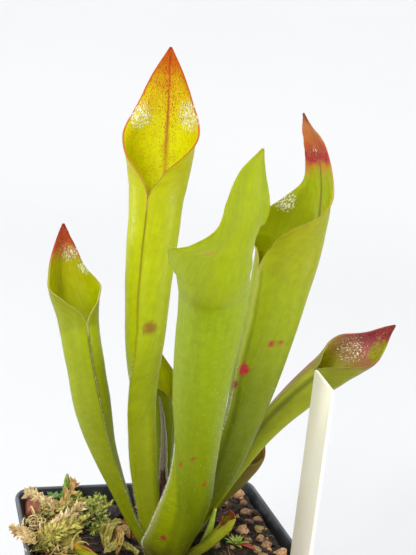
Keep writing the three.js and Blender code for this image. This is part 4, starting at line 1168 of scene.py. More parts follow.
def loft(rings):
    """A closed skin over rings of equal count, with a cap on the first and the last."""
    rows = np.arange(len(rings) * len(rings[0])).reshape(len(rings), -1)
    faces = []
    for a, b in zip(rows[:-1], rows[1:]):
        faces += np.stack([a, np.roll(a, -1), np.roll(b, -1), b], -1).tolist()
    faces.append(rows[0][::-1].tolist())
    faces.append(rows[-1].tolist())
    return np.concatenate(rings), faces


def rounded_ring(half_x, half_y, corner_x, corner_y, z, per_corner):
    """A level ring of points round a rectangle with rounded corners."""
    ring = []
    for quarter, (sx, sy) in enumerate(((1, 1), (-1, 1), (-1, -1), (1, -1))):
        angle = (quarter + np.linspace(0, 1, per_corner)) * math.pi / 2
        ring.append(np.stack([sx * (half_x - corner_x) + corner_x * np.cos(angle),
                              sy * (half_y - corner_y) + corner_y * np.sin(angle),
                              np.full(per_corner, z)], -1))
    return np.concatenate(ring)


# Pot

def rounded_square(side, corner, z):
    return rounded_ring(side / 2, side / 2, corner, corner, z, 14)


def drill(piece, places, radius, depth):
    """Cuts round holes straight down through a piece."""
    for x, y in places:
        work = bmesh.new()
        bmesh.ops.create_cone(work, cap_ends=True, segments=40, radius1=radius * MM,
                              radius2=radius * MM, depth=depth * MM)
        mesh = bpy.data.meshes.new("cutter")
        work.to_mesh(mesh)
        work.free()
        cutter = add_object("cutter", mesh)
        cutter.location = (x * MM, y * MM, 0)
        cut = piece.modifiers.new("hole", "BOOLEAN")
        cut.object = cutter
        cut.operation = "DIFFERENCE"
        cut.solver = "EXACT"
        bpy.context.view_layer.update()
        solved = piece.evaluated_get(bpy.context.evaluated_depsgraph_get())
        piece.data = bpy.data.meshes.new_from_object(solved)
        piece.modifiers.clear()
        bpy.data.objects.remove(cutter)


def dress_pot():
    """The pot from its profile: heights, each with the side of the square there."""
    rim = POT_SIDE
    outside = [
        (0, BASE_SIDE - 1.6), (0.15, BASE_SIDE - 0.7), (0.6, BASE_SIDE),
        (BAND_FOOT - 0.1, WAIST_SIDE), (BAND_FOOT + 0.1, WAIST_SIDE + 1.6),
        (BAND_FOOT + 0.6, BAND_SIDE), (POT_HEIGHT - 2.5, RIM_FOOT_SIDE - 0.1),
        (POT_HEIGHT - 2.15, RIM_FOOT_SIDE + 0.5), (POT_HEIGHT - 1.95, rim - 0.9),
        (POT_HEIGHT - 1.7, rim - 0.15), (POT_HEIGHT - 1.4, rim), (POT_HEIGHT - 0.6, rim),
        (POT_HEIGHT - 0.2, rim - 0.3), (POT_HEIGHT, rim - 0.8),
    ]
    inside = [
        (POT_HEIGHT, rim - 1.4), (POT_HEIGHT - 0.2, rim - 1.9), (POT_HEIGHT - 0.8, rim - 2.5),
        (POT_HEIGHT - 4, rim - 5.4), (BAND_FOOT + 0.6, BAND_SIDE - 2 * POT_WALL),
        (BAND_FOOT, WAIST_SIDE - 2 * POT_WALL),
        (POT_FLOOR + 0.8, BASE_SIDE - 2 * POT_WALL),
        (POT_FLOOR + 0.15, BASE_SIDE - 2 * POT_WALL - 0.7),
        (POT_FLOOR, BASE_SIDE - 2 * POT_WALL - 1.8),
    ]
    rings = [rounded_square(side, POT_CORNER, z) for z, side in outside]
    rings += [rounded_square(side, POT_CORNER - POT_WALL, z) for z, side in inside]
    bag = Bag()
    bag.add(*loft(rings), linear((34, 37, 42)))
    piece = bag.build("nursery_pot", pot_material(), "pot_plastic", "pot")
    places = [(sx * DRAIN_PLACE, sy * DRAIN_PLACE) for sx in (1, -1) for sy in (1, -1)]
    drill(piece, places, DRAIN_RADIUS, 4 * POT_FLOOR)
    shade_moulded(piece)


# Peat

PEAT_CELLS = 130
SOIL_BORDER = 33.4
SOIL_CORNER = 29
SOIL_CORNER_RADIUS = 4.4


def ripple(x, y, size, phase):
    """Crossing waves of that size."""
    along = np.sin(x / size + phase) * np.cos(y / size - 1.7 * phase)
    return along + 0.6 * np.sin((x + y) / (0.63 * size) + 2.3 * phase)


def soil_height(x, y):
    """The soil's broad form, the same as the part's."""
    heap = 1.6 * np.exp(-((x + 16) ** 2 + (y - 20) ** 2) / 260)
    collar = 0.9 * np.exp(-((x - 1) ** 2 + (y - 5) ** 2) / 160)
    fill = SOIL_RISE * ramp(x, 0, 26)
    crumbs = 0.34 * ripple(x, y, 3.1, 0.4) + 0.24 * ripple(y, x, 1.9, 2.1)
    return SOIL_LEVEL + heap + collar + fill + crumbs


def soil_surface(x, y):
    """The soil's height with its lumps, as seen from close by."""
    flat = np.stack([x, y, np.zeros_like(x)], -1)
    lumps = 0.9 * wobble(flat, 2.6, 2.0) + 0.5 * np.abs(wobble(flat, 1.2, 4.0))
    return soil_height(x, y) + lumps - 0.1


def soil_half(side):
    """Half the soil's width where the pot is that wide."""
    return side / 2 - POT_WALL - GAP


def peat_top():
    """A square grid of points over the soil, drawn in at the corners of the pot."""
    steps = np.linspace(-1, 1, PEAT_CELLS + 1)
    u, v = (grid.ravel() for grid in np.meshgrid(steps, steps, indexing="ij"))
    reach = np.maximum(np.abs(u), np.abs(v))
    half, corner = soil_half(BAND_SIDE), POT_CORNER - POT_WALL
    edge = np.stack([u, v], -1) / np.maximum(reach, 1e-9)[:, None] * half
    past = np.abs(edge) - (half - corner)
    share = corner / np.maximum(np.hypot(past[:, 0], past[:, 1]), 1e-9)
    rounded = np.sign(edge) * (half - corner + past * share[:, None])
    edge = np.where((past > 0).all(1)[:, None], rounded, edge)
    x, y = (edge * reach[:, None]).T
    return np.stack([x, y, soil_surface(x, y)], -1)


def peat_body():
    """The filling of the pot: a lumpy top, and plain sides down to the floor."""
    top = peat_top()
    index = np.arange(len(top)).reshape(PEAT_CELLS + 1, PEAT_CELLS + 1)
    upper = grid_border(index)
    points, faces = [top], grid_faces(index).tolist()
    for z, side in ((BAND_FOOT + 0.9, BAND_SIDE), (BAND_FOOT - 0.2, WAIST_SIDE),
                    (POT_FLOOR + GAP, BASE_SIDE)):
        ring = top[grid_border(index)] * (soil_half(side) / soil_half(BAND_SIDE))
        ring[:, 2] = z
        lower = np.arange(len(ring)) + sum(map(len, points))
        points.append(ring)
        faces += ring_faces(upper, lower).tolist()
        upper = lower
    faces.append(upper[::-1].tolist())
    points = np.concatenate(points)
    shade = 0.5 + 0.5 * wobble(points, 2.2, 6.0)
    return points, faces, between((27, 19, 13), (62, 49, 40), shade)


def on_soil(count, border=SOIL_BORDER):
    """Random places on the soil, apart from the pot's round corners."""
    x = rng.uniform(-border, border, count)
    y = rng.uniform(-border, border, count)
    past_x, past_y = (np.maximum(np.abs(side) - SOIL_CORNER, 0) for side in (x, y))
    keep = np.hypot(past_x, past_y) < SOIL_CORNER_RADIUS
    return x[keep], y[keep]


def above_soil(x, y, rise):
    return np.stack([x, y, soil_surface(x, y) + rise], -1)


def add_crumbs(bag):
    tones = ((30, 22, 16), (44, 33, 26), (64, 49, 38), (84, 62, 44), (38, 30, 27))
    for number, low, high, detail in ((800, 0.45, 1.15, 2), (3800, 0.16, 0.45, 1)):
        x, y = on_soil(number)
        size = rng.uniform(0, 1, len(x)) ** 2 * (high - low) + low
        add_lumps(bag, above_soil(x, y, 0.25 * size), size, (1, 0.8, 0.62), 1.2,
                  palette(tones, len(x)), detail, 0.26)


def add_flakes(bag):
    x, y = on_soil(200)
    tones = ((46, 30, 22), (70, 44, 28), (92, 66, 44), (34, 26, 24))
    add_lumps(bag, above_soil(x, y, 0.35), rng.uniform(0.7, 2.3, len(x)), (1, 0.5, 0.16), 0.45,
              palette(tones, len(x)), 2, 0.2)


def add_fibres(bag):
    tones = ((86, 60, 36), (120, 90, 56), (58, 40, 28), (150, 120, 80))
    for x, y in zip(*on_soil(300, 32)):
        bearing, bend = rng.uniform(0, ANY_TURN), rng.uniform(-1.6, 1.6)
        length, radius = rng.uniform(2, 9), rng.uniform(0.05, 0.14)
        u = np.linspace(0, 1, 9)
        turn = bearing + bend * u
        px = np.clip(x + np.cumsum(np.cos(turn)) * length / len(u), -34, 34)
        py = np.clip(y + np.cumsum(np.sin(turn)) * length / len(u), -34, 34)
        path = above_soil(px, py, 0)
        path[:, 2] = path[:, 2] + 0.3 + rng.uniform(0, 0.9) * np.sin(math.pi * u)
        bag.add(*rod(path, radius * (1.2 - 0.7 * u), 4), palette(tones, 1)[0])


def add_ridge(bag):
    """A smooth wet ridge of old peat between the moss and the crown."""
    course = [(-21.5, 18, 66.6), (-17.5, 20.6, 67.6), (-13, 23.6, 68), (-8.5, 26.6, 67.8),
              (-4.5, 29.4, 66.8)]
    sides, count = 40, 60
    line = along_curve(course, count)
    radii = 2.5 * np.sin(math.pi * np.linspace(0.03, 0.97, count)) ** 0.5
    points, faces = rod(line, radii, sides)
    centre = np.concatenate([np.repeat(line, sides, axis=0), line[[0, -1]]])
    grain = wobble(points * (0.35, 0.35, 1.6), 0.9, 8.0)
    lift = 0.5 * wobble(points, 2.4, 7.0) + 0.28 * grain
    points = points + unit(points - centre) * lift[:, None]
    bag.add(points, faces, between((30, 22, 22), (70, 56, 56), 0.4 + 0.9 * grain))


def dress_soil():
    bag = Bag()
    bag.add(*peat_body())
    add_ridge(bag)
    bag.build("peat_body", PEAT, "peat", "soil")
    bag = Bag()
    add_crumbs(bag)
    add_flakes(bag)
    add_fibres(bag)
    bag.build("peat_crumbs", PEAT, "peat", smooth=False)
    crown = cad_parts["crown"].data
    crown.materials.clear()
    crown.materials.append(crown_material())


# Grains: the same places, sizes and turns as in the part

GRAINS = [
    (32, 29.6, 2.5, "peach"), (29.4, 29.9, 1.2, "tan"), (32.3, 25, 1.5, "pink"),
    (25.3, 25.3, 1.5, "tan"), (30.7, 18.4, 1.7, "tan"), (32.4, 13.2, 1.6, "tan"),
    (32.8, 19.4, 1.3, "brick"), (26, 7.4, 2.3, "peach"), (31.2, 7.7, 1.6, "yellow"),
    (29.9, 3.3, 1.7, "tan"), (30.2, -1.2, 1.9, "tan"), (26.6, -2.8, 1.7, "yellow"),
    (32.6, -6.2, 2, "peach"), (25.7, 2.4, 1.3, "tan"), (16.3, 3.6, 1.5, "yellow"),
    (29.2, 12.2, 1.4, "pink"), (28.5, -9.5, 1.8, "tan"), (19.5, -8, 1.9, "brick"),
    (20.5, -17, 2.2, "tan"),
]
GRAIN_COUNT = 36
GRAIN_COLOURS = {
    "peach": (192, 148, 106), "tan": (164, 126, 88), "pink": (154, 108, 80),
    "brick": (140, 82, 58), "yellow": (166, 140, 86), "dark": (72, 52, 36),
}


def seeded_draw(seed):
    """Random numbers by the same rule as the part's."""
    state = seed

    def draw(low=0.0, high=1.0):
        nonlocal state
        state = (state * 1664525 + 1013904223) % 4294967296
        return low + (high - low) * (state / 4294967296)
    return draw


def pebble(radius, seed):
    """A lump with worn flat faces."""
    points, faces = ball(4)
    chance = np.random.default_rng(seed)
    for _ in range(10):
        normal = unit(chance.normal(size=3))
        past = np.maximum(points @ normal - chance.uniform(0.6, 0.88), 0)
        points = points - 0.92 * past[:, None] * normal
    uneven = 0.16 * wobble(points, 0.5, seed) + 0.1 * wobble(points, 0.18, seed)
    return points * (1 + uneven)[:, None] * radius, faces


def turned(points, angle, axis):
    return points @ np.array(Matrix.Rotation(angle, 3, axis)).T


def dress_grains():
    draw = seeded_draw(41)
    spots = list(GRAINS)
    tones = ("tan", "dark", "yellow", "pink")
    while len(spots) < GRAIN_COUNT:
        x, y, radius = draw(-30, 31), draw(-31, 30), draw(0.9, 1.9)
        if math.hypot(x - 2, y - 4) > 14 and math.hypot(x + 22, y - 22) > 17:
            spots.append((x, y, radius, tones[len(spots) % len(tones)]))
    bag = Bag()
    for seed, (x, y, radius, tone) in enumerate(spots):
        squash = np.array([draw(0.85, 1.15), draw(0.8, 1.1), draw(0.6, 0.8)])
        points, faces = pebble(radius, seed)
        points = turned(turned(points * squash, draw(-0.4, 0.4), "X"), draw(0, math.pi), "Z")
        points = points + (x, y, soil_height(x, y) + 0.3 * radius)
        pits = 0.9 + 1.1 * wobble(points, 0.6, seed) + 0.6 * wobble(points, 0.25, seed)
        bag.add(points, faces, between(GRAIN_COLOURS["dark"], GRAIN_COLOURS[tone], pits))
    x, y = on_soil(150)
    bare = (np.hypot(x - 2, y - 6) > 12) & (np.hypot(x + 22, y - 22) > 16)
    x, y = x[bare], y[bare]
    colours = palette(list(GRAIN_COLOURS.values()), len(x))
    add_lumps(bag, above_soil(x, y, 0.3), rng.uniform(0.3, 0.9, len(x)), (1, 0.8, 0.7), 1.0,
              colours, 3, 0.08)
    bag.build("grains", GRAIN, "peat")


# Moss

BRANCH_LEAF_STEP = 0.26
HEAD_BRANCHES = 10
HEAD_TURN = 2.39996
MOUND_EDGE = 0.15


def add_branch(bag, start, ahead, length, curl, leaflet, spread_angle, base, tip):
    """A curving moss branch, covered all round with small pointed leaves."""
    ahead = unit(ahead)
    aside = unit(np.cross(ahead, rng.normal(size=3)))
    count = max(int(length / BRANCH_LEAF_STEP), 8)
    u = np.linspace(0, 1, count)
    course = swing(ahead, aside, curl * u)
    path = start + np.cumsum(course, axis=0) * length / count
    side = unit(np.cross(course, np.cross(ahead, aside) + 0.01))
    angle = np.arange(count) * LEAF_TURN + rng.uniform(0, ANY_TURN)
    outward = swing(side, np.cross(course, side), angle)
    lean = spread_angle * (1 - 0.5 * u) + rng.uniform(-0.15, 0.15, count)
    size = leaflet * (1 - 0.45 * u) * rng.uniform(0.75, 1.2, count)
    colours = mix(base, tip, u) * rng.uniform(0.8, 1.2, (count, 1))
    add_leaflets(bag, path, swing(course, outward, lean), outward, size, 0.42 * size, colours)
    stem = path[::3]
    bag.add(*rod(stem, np.linspace(0.16, 0.05, len(stem)), 4), base)


def add_mound(bag, centre, radii, low, high, seed):
    """The dense body of a clump, uneven all over."""
    points, faces = ball(5)
    lump = 0.18 * wobble(points, 0.45, seed) + 0.12 * wobble(points, 0.16, seed + 1)
    points = points * (1 + lump)[:, None]
    bag.add(points * radii + centre, faces, between(low, high, 0.5 + 3 * lump))


def add_head(bag, centre, normal, size, base, tip):
    """A moss head: short upright branches in the middle, longer ones spreading out."""
    normal = unit(normal)
    side = unit(np.cross(normal, (0.3, 0.9, 0.1)))
    over = np.cross(normal, side)
    for i in range(HEAD_BRANCHES):
        out = (i + 0.5) / HEAD_BRANCHES
        aside = swing(side, over, LEAF_TURN * i + rng.uniform(-0.2, 0.2))
        heading = swing(normal, aside, 0.25 + 1.25 * out)
        length = size * (0.55 + 0.6 * out) * rng.uniform(0.8, 1.15)
        tone = tip * rng.uniform(0.8, 1.15)
        add_branch(bag, centre, heading, length, rng.uniform(-0.9, 0.9), 1.9, 0.55, base, tone)


def add_shag(bag, course, radius, count, leaflet, low, high, lean=0.35):
    """Papery leaves along a line and all round it, as on a dead stem, darker near the line."""
    line = along_curve(course, 80)
    pick = rng.integers(0, len(line), count)
    ahead = unit(np.gradient(line, axis=0))[pick]
    outward = rng.normal(size=(count, 3))
    outward = unit(outward - ahead * np.sum(outward * ahead, -1, keepdims=True))
    share = rng.uniform(0.3, 1, count)
    fat = radius * np.interp(pick, (0, 12, 66, 79), (0.4, 1, 1, 0.3))
    bases = line[pick] + outward * (share * fat)[:, None]
    heading = unit(ahead + outward * lean + 0.45 * rng.normal(size=(count, 3)))
    size = leaflet * rng.uniform(0.7, 1.4, count)
    tones = between(low, high, share * rng.uniform(0.5, 1.25, count))
    add_leaflets(bag, bases, heading, outward, size, size * rng.uniform(0.35, 0.6, count), tones)


def add_curls(bag, places, length, curl, radius, tones):
    """Loose curled strands."""
    u = np.linspace(0, 1, 16)
    for place in places:
        ahead = unit(rng.normal(size=3) + (0, 0, 0.6))
        aside = unit(np.cross(ahead, rng.normal(size=3)))
        course = swing(ahead, aside, rng.uniform(0.5, 1) * curl * u)
        path = place + np.cumsum(course, axis=0) * rng.uniform(*length) / len(u)
        path[:, 2] = np.maximum(path[:, 2], soil_height(path[:, 0], path[:, 1]) + 0.3)
        bag.add(*rod(path, radius * (1.15 - 0.8 * u), 5), palette(tones, 1)[0])


def on_mound(centre, radii, count):
    """Evenly spread places and outward directions on the upper side of a mound."""
    i = np.arange(count) + 0.5
    up = (1 - (1 - MOUND_EDGE) * i / count)[:, None]
    shell = around(HEAD_TURN * i) * np.sqrt(1 - up * up) + UP * up
    return zip(np.asarray(centre) + shell * radii, unit(shell / np.asarray(radii)))


def dress_green_moss():
    bag = Bag()
    base, tip = linear((122, 136, 26)), linear((206, 212, 110))
    for centre, radii, count, size in (((-17.2, 24.2, 65.6), (5.8, 6, 5), 15, 3.2),
                                       ((-21.8, 27.4, 66.6), (3.6, 5.6, 5.4), 10, 3.4),
                                       ((-13.4, 31.2, 65.6), (3.4, 2.8, 3.6), 5, 3.2)):
        add_mound(bag, centre, radii, (50, 62, 12), (112, 126, 30), count)
        for place, outward in on_mound(centre, radii, count):
            add_head(bag, place, outward + (-0.1, -0.25, 0.4), size * rng.uniform(0.85, 1.1),
                     base, tip * rng.uniform(0.75, 1.15))
    bag.build("green_moss", MOSS, "moss_live", "moss_green", smooth=False)


def dress_shoots():
    """Leafy shoots that stand in the moss: a tall one and a low star beside it."""
    bag = Bag()
    x, y, foot = SHOOT_PLACE
    stem = [(x, y, foot), (x + 0.3, y, foot + 6), (x + 0.25, y + 0.1, foot + 12)]
    line = along_curve(stem, 24)
    bag.add(*rod(line, np.linspace(0.45, 0.25, 24), 7), linear((120, 150, 60)))
    for i in range(34):
        u = i / 33
        root = line[int(4 + 19 * u)]
        out = around(LEAF_TURN * i)
        ahead = swing(UP, out, 0.75 - 0.6 * u)
        length = min(2.6 + 1.1 * math.sin(math.pi * u), foot + SHOOT_HEIGHT - root[2])
        grid = blade_grid(root, ahead, out, length, 0.95, -0.25, 0.35, 0.45, 9)
        bag.add(*sheet(grid, 0.1), linear((152, 182, 84)) * rng.uniform(0.8, 1.2))
    for i in range(11):
        out = around(LEAF_TURN * i)
        ahead = out + UP * (1.5 - 0.1 * i)
        grid = blade_grid(STAR_PLACE, ahead, -out, 3.2, 1.5, -0.4, 0.2, 0.55, 9)
        bag.add(*sheet(grid, 0.12), linear((92, 134, 62)) * rng.uniform(0.85, 1.15))
    bag.build("moss_shoots", LEAFY, "moss_live")


STRAW = ((224, 200, 142), (204, 176, 112), (176, 148, 84), (236, 216, 164))
OLIVE, YELLOW = (92, 84, 14), (222, 208, 100)
TAN, CREAM = (168, 130, 74), (242, 220, 166)


def scattered(count, centre, reach):
    return rng.normal(size=(count, 3)) * reach + centre


def add_papery(bag, course, width, low, high, seed):
    """One broad papery moss leaf along a line."""
    bag.add(*curled_scrap(course, width, 1.6, low, high, seed, 0.12))


def dress_dry_back():
    bag = Bag()
    add_mound(bag, (-28.6, 25.4, 66), (4.8, 5, 3.8), (84, 74, 24), (150, 134, 60), 6)
    fans = ([(-26.4, 23, 71), (-29, 25.4, 72.6), (-31.6, 28.4, 73.2), (-34.2, 32, 73)],
            [(-26.4, 23, 71), (-24.2, 25.6, 72.6), (-22.4, 29, 73.8), (-20.4, 33.6, 74.8)])
    add_shag(bag, fans[0], 0.6, 150, 2.2, TAN, CREAM)
    add_shag(bag, fans[1], 0.45, 120, 2.2, (160, 108, 50), (224, 184, 116))
    add_shag(bag, [(-32, 24.6, 69.6), (-28, 22.4, 70.6), (-24, 24.4, 70)], 2.2, 560, 2.1, OLIVE,
             (210, 194, 110), 0.7)
    papers = (fans[0][1:], fans[1][1:],
              [(-31.4, 24, 71.4), (-28, 21.8, 72), (-24.6, 23, 71)],
              [(-30, 27.4, 71), (-27.4, 25.4, 72.4), (-25, 27.6, 71.8)])
    for seed, course in enumerate(papers):
        add_papery(bag, course, 3.0, (156, 126, 60), CREAM, seed)
    add_curls(bag, scattered(24, (-33, 19, 70.2), (1.2, 2.2, 0.5)), (5, 9), 5.5, 0.26, STRAW)
    bag.build("dry_moss_back", DRY_MOSS, "moss_dead", "moss_dry_back", smooth=False)


def dress_dry_front():
    bag = Bag()
    add_mound(bag, (-27, 12.6, 65.2), (7, 4.6, 4), (84, 76, 18), (160, 148, 52), 7)
    add_shag(bag, [(-34, 9, 68.8), (-30.4, 11.4, 69.8), (-26.4, 14.4, 70), (-21.4, 17.8, 69.2)],
             2.4, 1000, 1.7, OLIVE, YELLOW, 0.6)
    top = [(-31, 13.6, 71.2), (-27, 16.2, 72), (-23.4, 19.2, 72), (-20.6, 22.4, 72.8)]
    add_shag(bag, top, 0.7, 220, 2.2, TAN, CREAM)
    add_papery(bag, top[:3], 3.6, (180, 140, 80), (236, 208, 150), 12)
    for i in range(9):
        foot = np.array([-34 + 1.4 * i, 8.6 + i, 0])
        rise = [(0, 0, 67.2 + 0.5 * (i % 3)), (2.2, 1.2, 70.4), (5.4, 3.2, 71 + 0.4 * (i % 2))]
        add_papery(bag, foot + rise, 2.6, (150, 136, 34), (230, 216, 122), 20 + i)
    tones = ((210, 184, 96), (186, 160, 78), (226, 206, 140))
    add_curls(bag, scattered(22, (-28, 8.5, 67.4), (2.4, 1.8, 0.4)), (4, 8), 2.6, 0.26, tones)
    bag.build("dry_moss_front", DRY_MOSS, "moss_dead", "moss_dry_front", smooth=False)


def dress_rim_moss():
    bag = Bag()
    add_mound(bag, (-36.8, 8, POT_HEIGHT + 0.5), (1.5, 3.4, 0.8), (110, 88, 50), (176, 148, 92), 8)
    add_shag(bag, [(-36.4, 3.4, 72.8), (-37, 6.6, 73.2), (-38.4, 9.4, 73.2), (-40.4, 12.4, 72.4)],
             0.6, 200, 1.8, (150, 116, 58), (220, 190, 128))
    add_papery(bag, [(-36.2, 4.6, 73), (-37.6, 8, 73.8), (-39.8, 11.2, 73.2)], 2.4, TAN, CREAM, 31)
    add_curls(bag, scattered(14, (-37.2, 7, 73), (0.8, 2.6, 0.3)), (3, 6), 3.2, 0.18, STRAW)
    bag.build("dry_moss_rim", DRY_MOSS, "moss_dead", "moss_rim", smooth=False)


# Litter: curled scraps, a broken chip, a seedling, a young leaf and a withered stalk

def curled_scrap(course, width, roll, low, high, seed, thickness):
    """A papery leaf scrap: cupped across, waved along, torn at its edges."""
    rows, columns = 60, 21
    line = along_curve(course, rows)
    along = unit(np.gradient(line, axis=0))
    across = unit(np.cross((0, 0, 1), along))
    over = np.cross(along, across)
    u, v = np.linspace(0, 1, rows), np.linspace(-1, 1, columns)
    half = width / 2 * np.sin(math.pi * (0.02 + 0.95 * u)) ** 0.7
    half = half * (1 + 0.22 * wobble(np.stack([u * 14, u * 0, u * 0 + seed], -1), 1.0, seed))
    bend = roll * v
    grid = (line[:, None] + across[:, None] * (half[:, None] * np.sin(bend) / roll)[..., None]
            + over[:, None] * (half[:, None] * (1 - np.cos(bend)) / roll)[..., None])
    flat = grid.reshape(-1, 3)
    waves = 1.3 * wobble(flat, 2.0, seed) + 0.45 * wobble(flat, 0.7, seed)
    flat = flat + np.repeat(over, columns, axis=0) * waves[:, None]
    veins = 0.5 + 0.5 * np.sin(np.tile(v, rows) * 11 + 1.4 * wobble(flat, 2.5, seed))
    colour = between(low, high, 0.65 * veins + 0.5 * wobble(flat, 2, seed) + 0.2)
    points, faces = sheet(flat.reshape(rows, columns, 3), thickness)
    return points, faces, np.concatenate([colour, colour])


def dress_scraps():
    bag = Bag()
    browns, olives = ((84, 56, 20), (186, 150, 70)), ((96, 84, 22), (176, 166, 70))
    for seed, (width, tones, *course) in enumerate((
        (4.6, olives, (-14.8, 7.4, 67.4), (-14, 12, 70), (-11.2, 15.4, 70.8), (-8.6, 17.4, 69.6)),
        (3.6, browns, (-12.4, 8.4, 67.4), (-10.8, 12, 70), (-8.8, 13.4, 70.2), (-7.6, 10.6, 68.2)),
        (2.4, browns, (-10.6, 12, 70.2), (-10.8, 8.6, 71.2), (-11.4, 5.4, 70.2), (-12.8, 2.4, 68.6)),
        (4.0, olives, (-15.8, 4, 67.8), (-12.8, 5.6, 69.4), (-9.6, 5, 69.2), (-6.6, 2.8, 68)),
    )):
        bag.add(*curled_scrap(course, width, 0.9, *tones, seed + 2, 0.16))
    bag.build("scrap_long", SCRAP, "leaf_litter", "leaf_scrap_long")
    bag = Bag()
    for seed, (shift, width) in enumerate(((0, 2.6), (0.9, 1.6))):
        course = np.array([(-8.2, 19, 68.4), (-7.4, 16.4, 69.4), (-6.6, 13.6, 69), (-6, 10.8, 68)])
        bag.add(*curled_scrap(course + (shift, 0.4 * shift, -0.2), width, 1.5, (92, 44, 12),
                              (176, 98, 36), seed + 9, 0.16))
    bag.build("scrap_short", SCRAP, "leaf_litter", "leaf_scrap_short")


def dress_chip():
    """A broken flake of terracotta, worn at its edges."""
    corners = np.array([(-2.6, -4.2), (2.2, -3.4), (3.1, 0.6), (1.2, 4.3), (-2.2, 3.2)])
    loop = np.concatenate([
        [a + (b - a) * u for u in np.linspace(0, 1, 14)[:-1]]
        for a, b in zip(corners, np.roll(corners, -1, axis=0))
    ])
    shares = [(0, 0.08), (0, 0.25), (0, 0.5), (0, 0.75), (0, 0.86), (0.12, 0.95), (0.4, 1)]
    shares += [(CHIP_THICKNESS - z, share) for z, share in reversed(shares)]
    rings = [np.column_stack([loop * share, np.full(len(loop), z)]) for z, share in shares]
    points, faces = loft(rings)
    points = points + 0.22 * shaken(points, 1.1, (1, 2, 3))
    points = turned(points, 0.35, "Y") + CHIP_PLACE
    tone = 0.5 + 0.6 * wobble(points, 0.8, 4)
    bag = Bag()
    bag.add(points, faces, between((158, 82, 60), (204, 134, 108), tone))
    bag.build("terracotta_chip", CHIP, "terracotta", "chip")


def dress_seedling():
    x, y = SEEDLING_PLACE
    foot = np.array([x, y, soil_height(x, y) + 0.5])
    bag = Bag()
    for i in range(13):
        ahead = swing(UP, around(LEAF_TURN * i), 1.15 - 0.07 * i)
        grid = blade_grid(foot, ahead, UP, 4.3 - 0.1 * i, 0.9, -0.5, 0.3, 0.45, 12)
        tone = linear((142, 172, 62) if i % 3 else (176, 184, 84)) * rng.uniform(0.85, 1.15)
        bag.add(*sheet(grid, 0.14), tone)
    grid = blade_grid(foot + (0.4, -0.4, 0.5), (0.72, -0.9, 0.42), UP, 6.2, 2.0, -0.5, 0.45,
                      0.45, 20, 9)
    points, faces = sheet(grid, 0.25)
    away = np.linalg.norm(points - foot, axis=1)
    bag.add(points, faces, between((176, 74, 44), (140, 58, 40), away / 6))
    bag.build("seedling_tuft", LEAFY, "leaf_green", "seedling")


def dress_young_leaf():
    """A thin upright blade, swollen at its middle."""
    rows, sides = 40, 16
    line = along_curve(YOUNG_LEAF, rows)
    u = np.linspace(0, 1, rows)
    half = YOUNG_WIDTH / 2 * (0.35 + 0.9 * np.sin(math.pi * (0.12 + 0.8 * u)) ** 2)
    angle = np.arange(sides) * 2 * math.pi / sides
    oval = np.stack([np.cos(angle), np.sin(angle), 0 * angle], -1)
    points, faces = loft([centre + oval * (h, YOUNG_THICKNESS / 2, 0)
                          for centre, h in zip(line, half)])
    bag = Bag()
    bag.add(points, faces, between((120, 130, 40), (176, 200, 60), np.repeat(u, sides)))
    bag.build("young_blade", LEAFY, "leaf_yellow", "young_leaf")


def add_strands(bag, line):
    """A bundle of dark fibres along the lower part of a line."""
    strands = 30
    tones = ((74, 34, 30), (96, 50, 40), (58, 30, 30), (120, 84, 66))
    for i in range(strands):
        offset = around(LEAF_TURN * i) * (1.1, 0.55, 0) * (1.25 * math.sqrt((i + 0.5) / strands))
        first, last = rng.integers(0, 8), rng.integers(38, 52)
        strand = line[first:last] + offset * np.linspace(1, 0.8, last - first)[:, None]
        strand = strand + 0.16 * shaken(strand, 2, (i, i + 40, i + 80))
        bag.add(*rod(strand, rng.uniform(0.14, 0.3), 6), palette(tones, 1)[0])


def dress_withered():
    """A dead pitcher: a fibrous dark stalk below, a papery fold above."""
    bag = Bag()
    line = along_curve(WITHERED, 90)
    add_strands(bag, line)
    fold = line[44:]
    u, v = np.linspace(0, 1, len(fold)), np.linspace(-1, 1, 17)
    half = 1.3 * (1 - u) ** 0.7 + 0.1
    across, depth = np.array([0.92, -0.38, 0]), np.array([0.38, 0.92, 0])
    grid = (fold[:, None] + across * (half[:, None] * v)[..., None]
            + depth * (half[:, None] * 0.5 * np.cos(math.pi * v))[..., None])
    flat = grid.reshape(-1, 3)
    flat = flat + 0.14 * shaken(flat, 1.4, (11, 12, 13))
    lines = 0.5 + 0.5 * np.sin(np.tile(v, len(u)) * 14)
    colour = between((138, 132, 70), (196, 184, 184), lines)
    points, faces = sheet(flat.reshape(grid.shape), 0.2)
    bag.add(points, faces, np.concatenate([colour, colour]))
    bag.build("withered_leaf", SCRAP, "leaf_dead", "withered_pitcher")


# Label

def label_ring(z):
    """The label's outline at a height: narrow at the point, rounded off at the top."""
    from_top = LABEL_LENGTH - z
    round_off = 1 - math.sqrt(1 - max(1 - from_top, 0) ** 2)
    wide = max(LABEL_WIDTH / 2 * min(z / LABEL_POINT, 1) - round_off, LABEL_TIP)
    deep = LABEL_THICKNESS / 2 * min(0.55 + 1.5 * from_top, 1)
    return rounded_ring(wide, deep, LABEL_EDGE, 0.6 * LABEL_EDGE, LABEL_TOP - from_top, 5)


def dress_label():
    heights = np.concatenate([
        np.linspace(0, LABEL_POINT, 16), np.linspace(12, LABEL_LENGTH - 1.1, 44),
        LABEL_LENGTH - 1 + np.sin(np.linspace(0.1, 1.5, 8)),
    ])
    points, faces = loft([label_ring(z) for z in heights])
    bag = Bag()
    bag.add(turned(points, math.radians(LABEL_TURN), "Z") + (*LABEL_PLACE, 0), faces,
            linear((236, 228, 204)))
    piece = bag.build("plant_label", label_material(), "label_plastic", "label")
    shade_moulded(piece)


# Hairs and nectar beads on the leaves

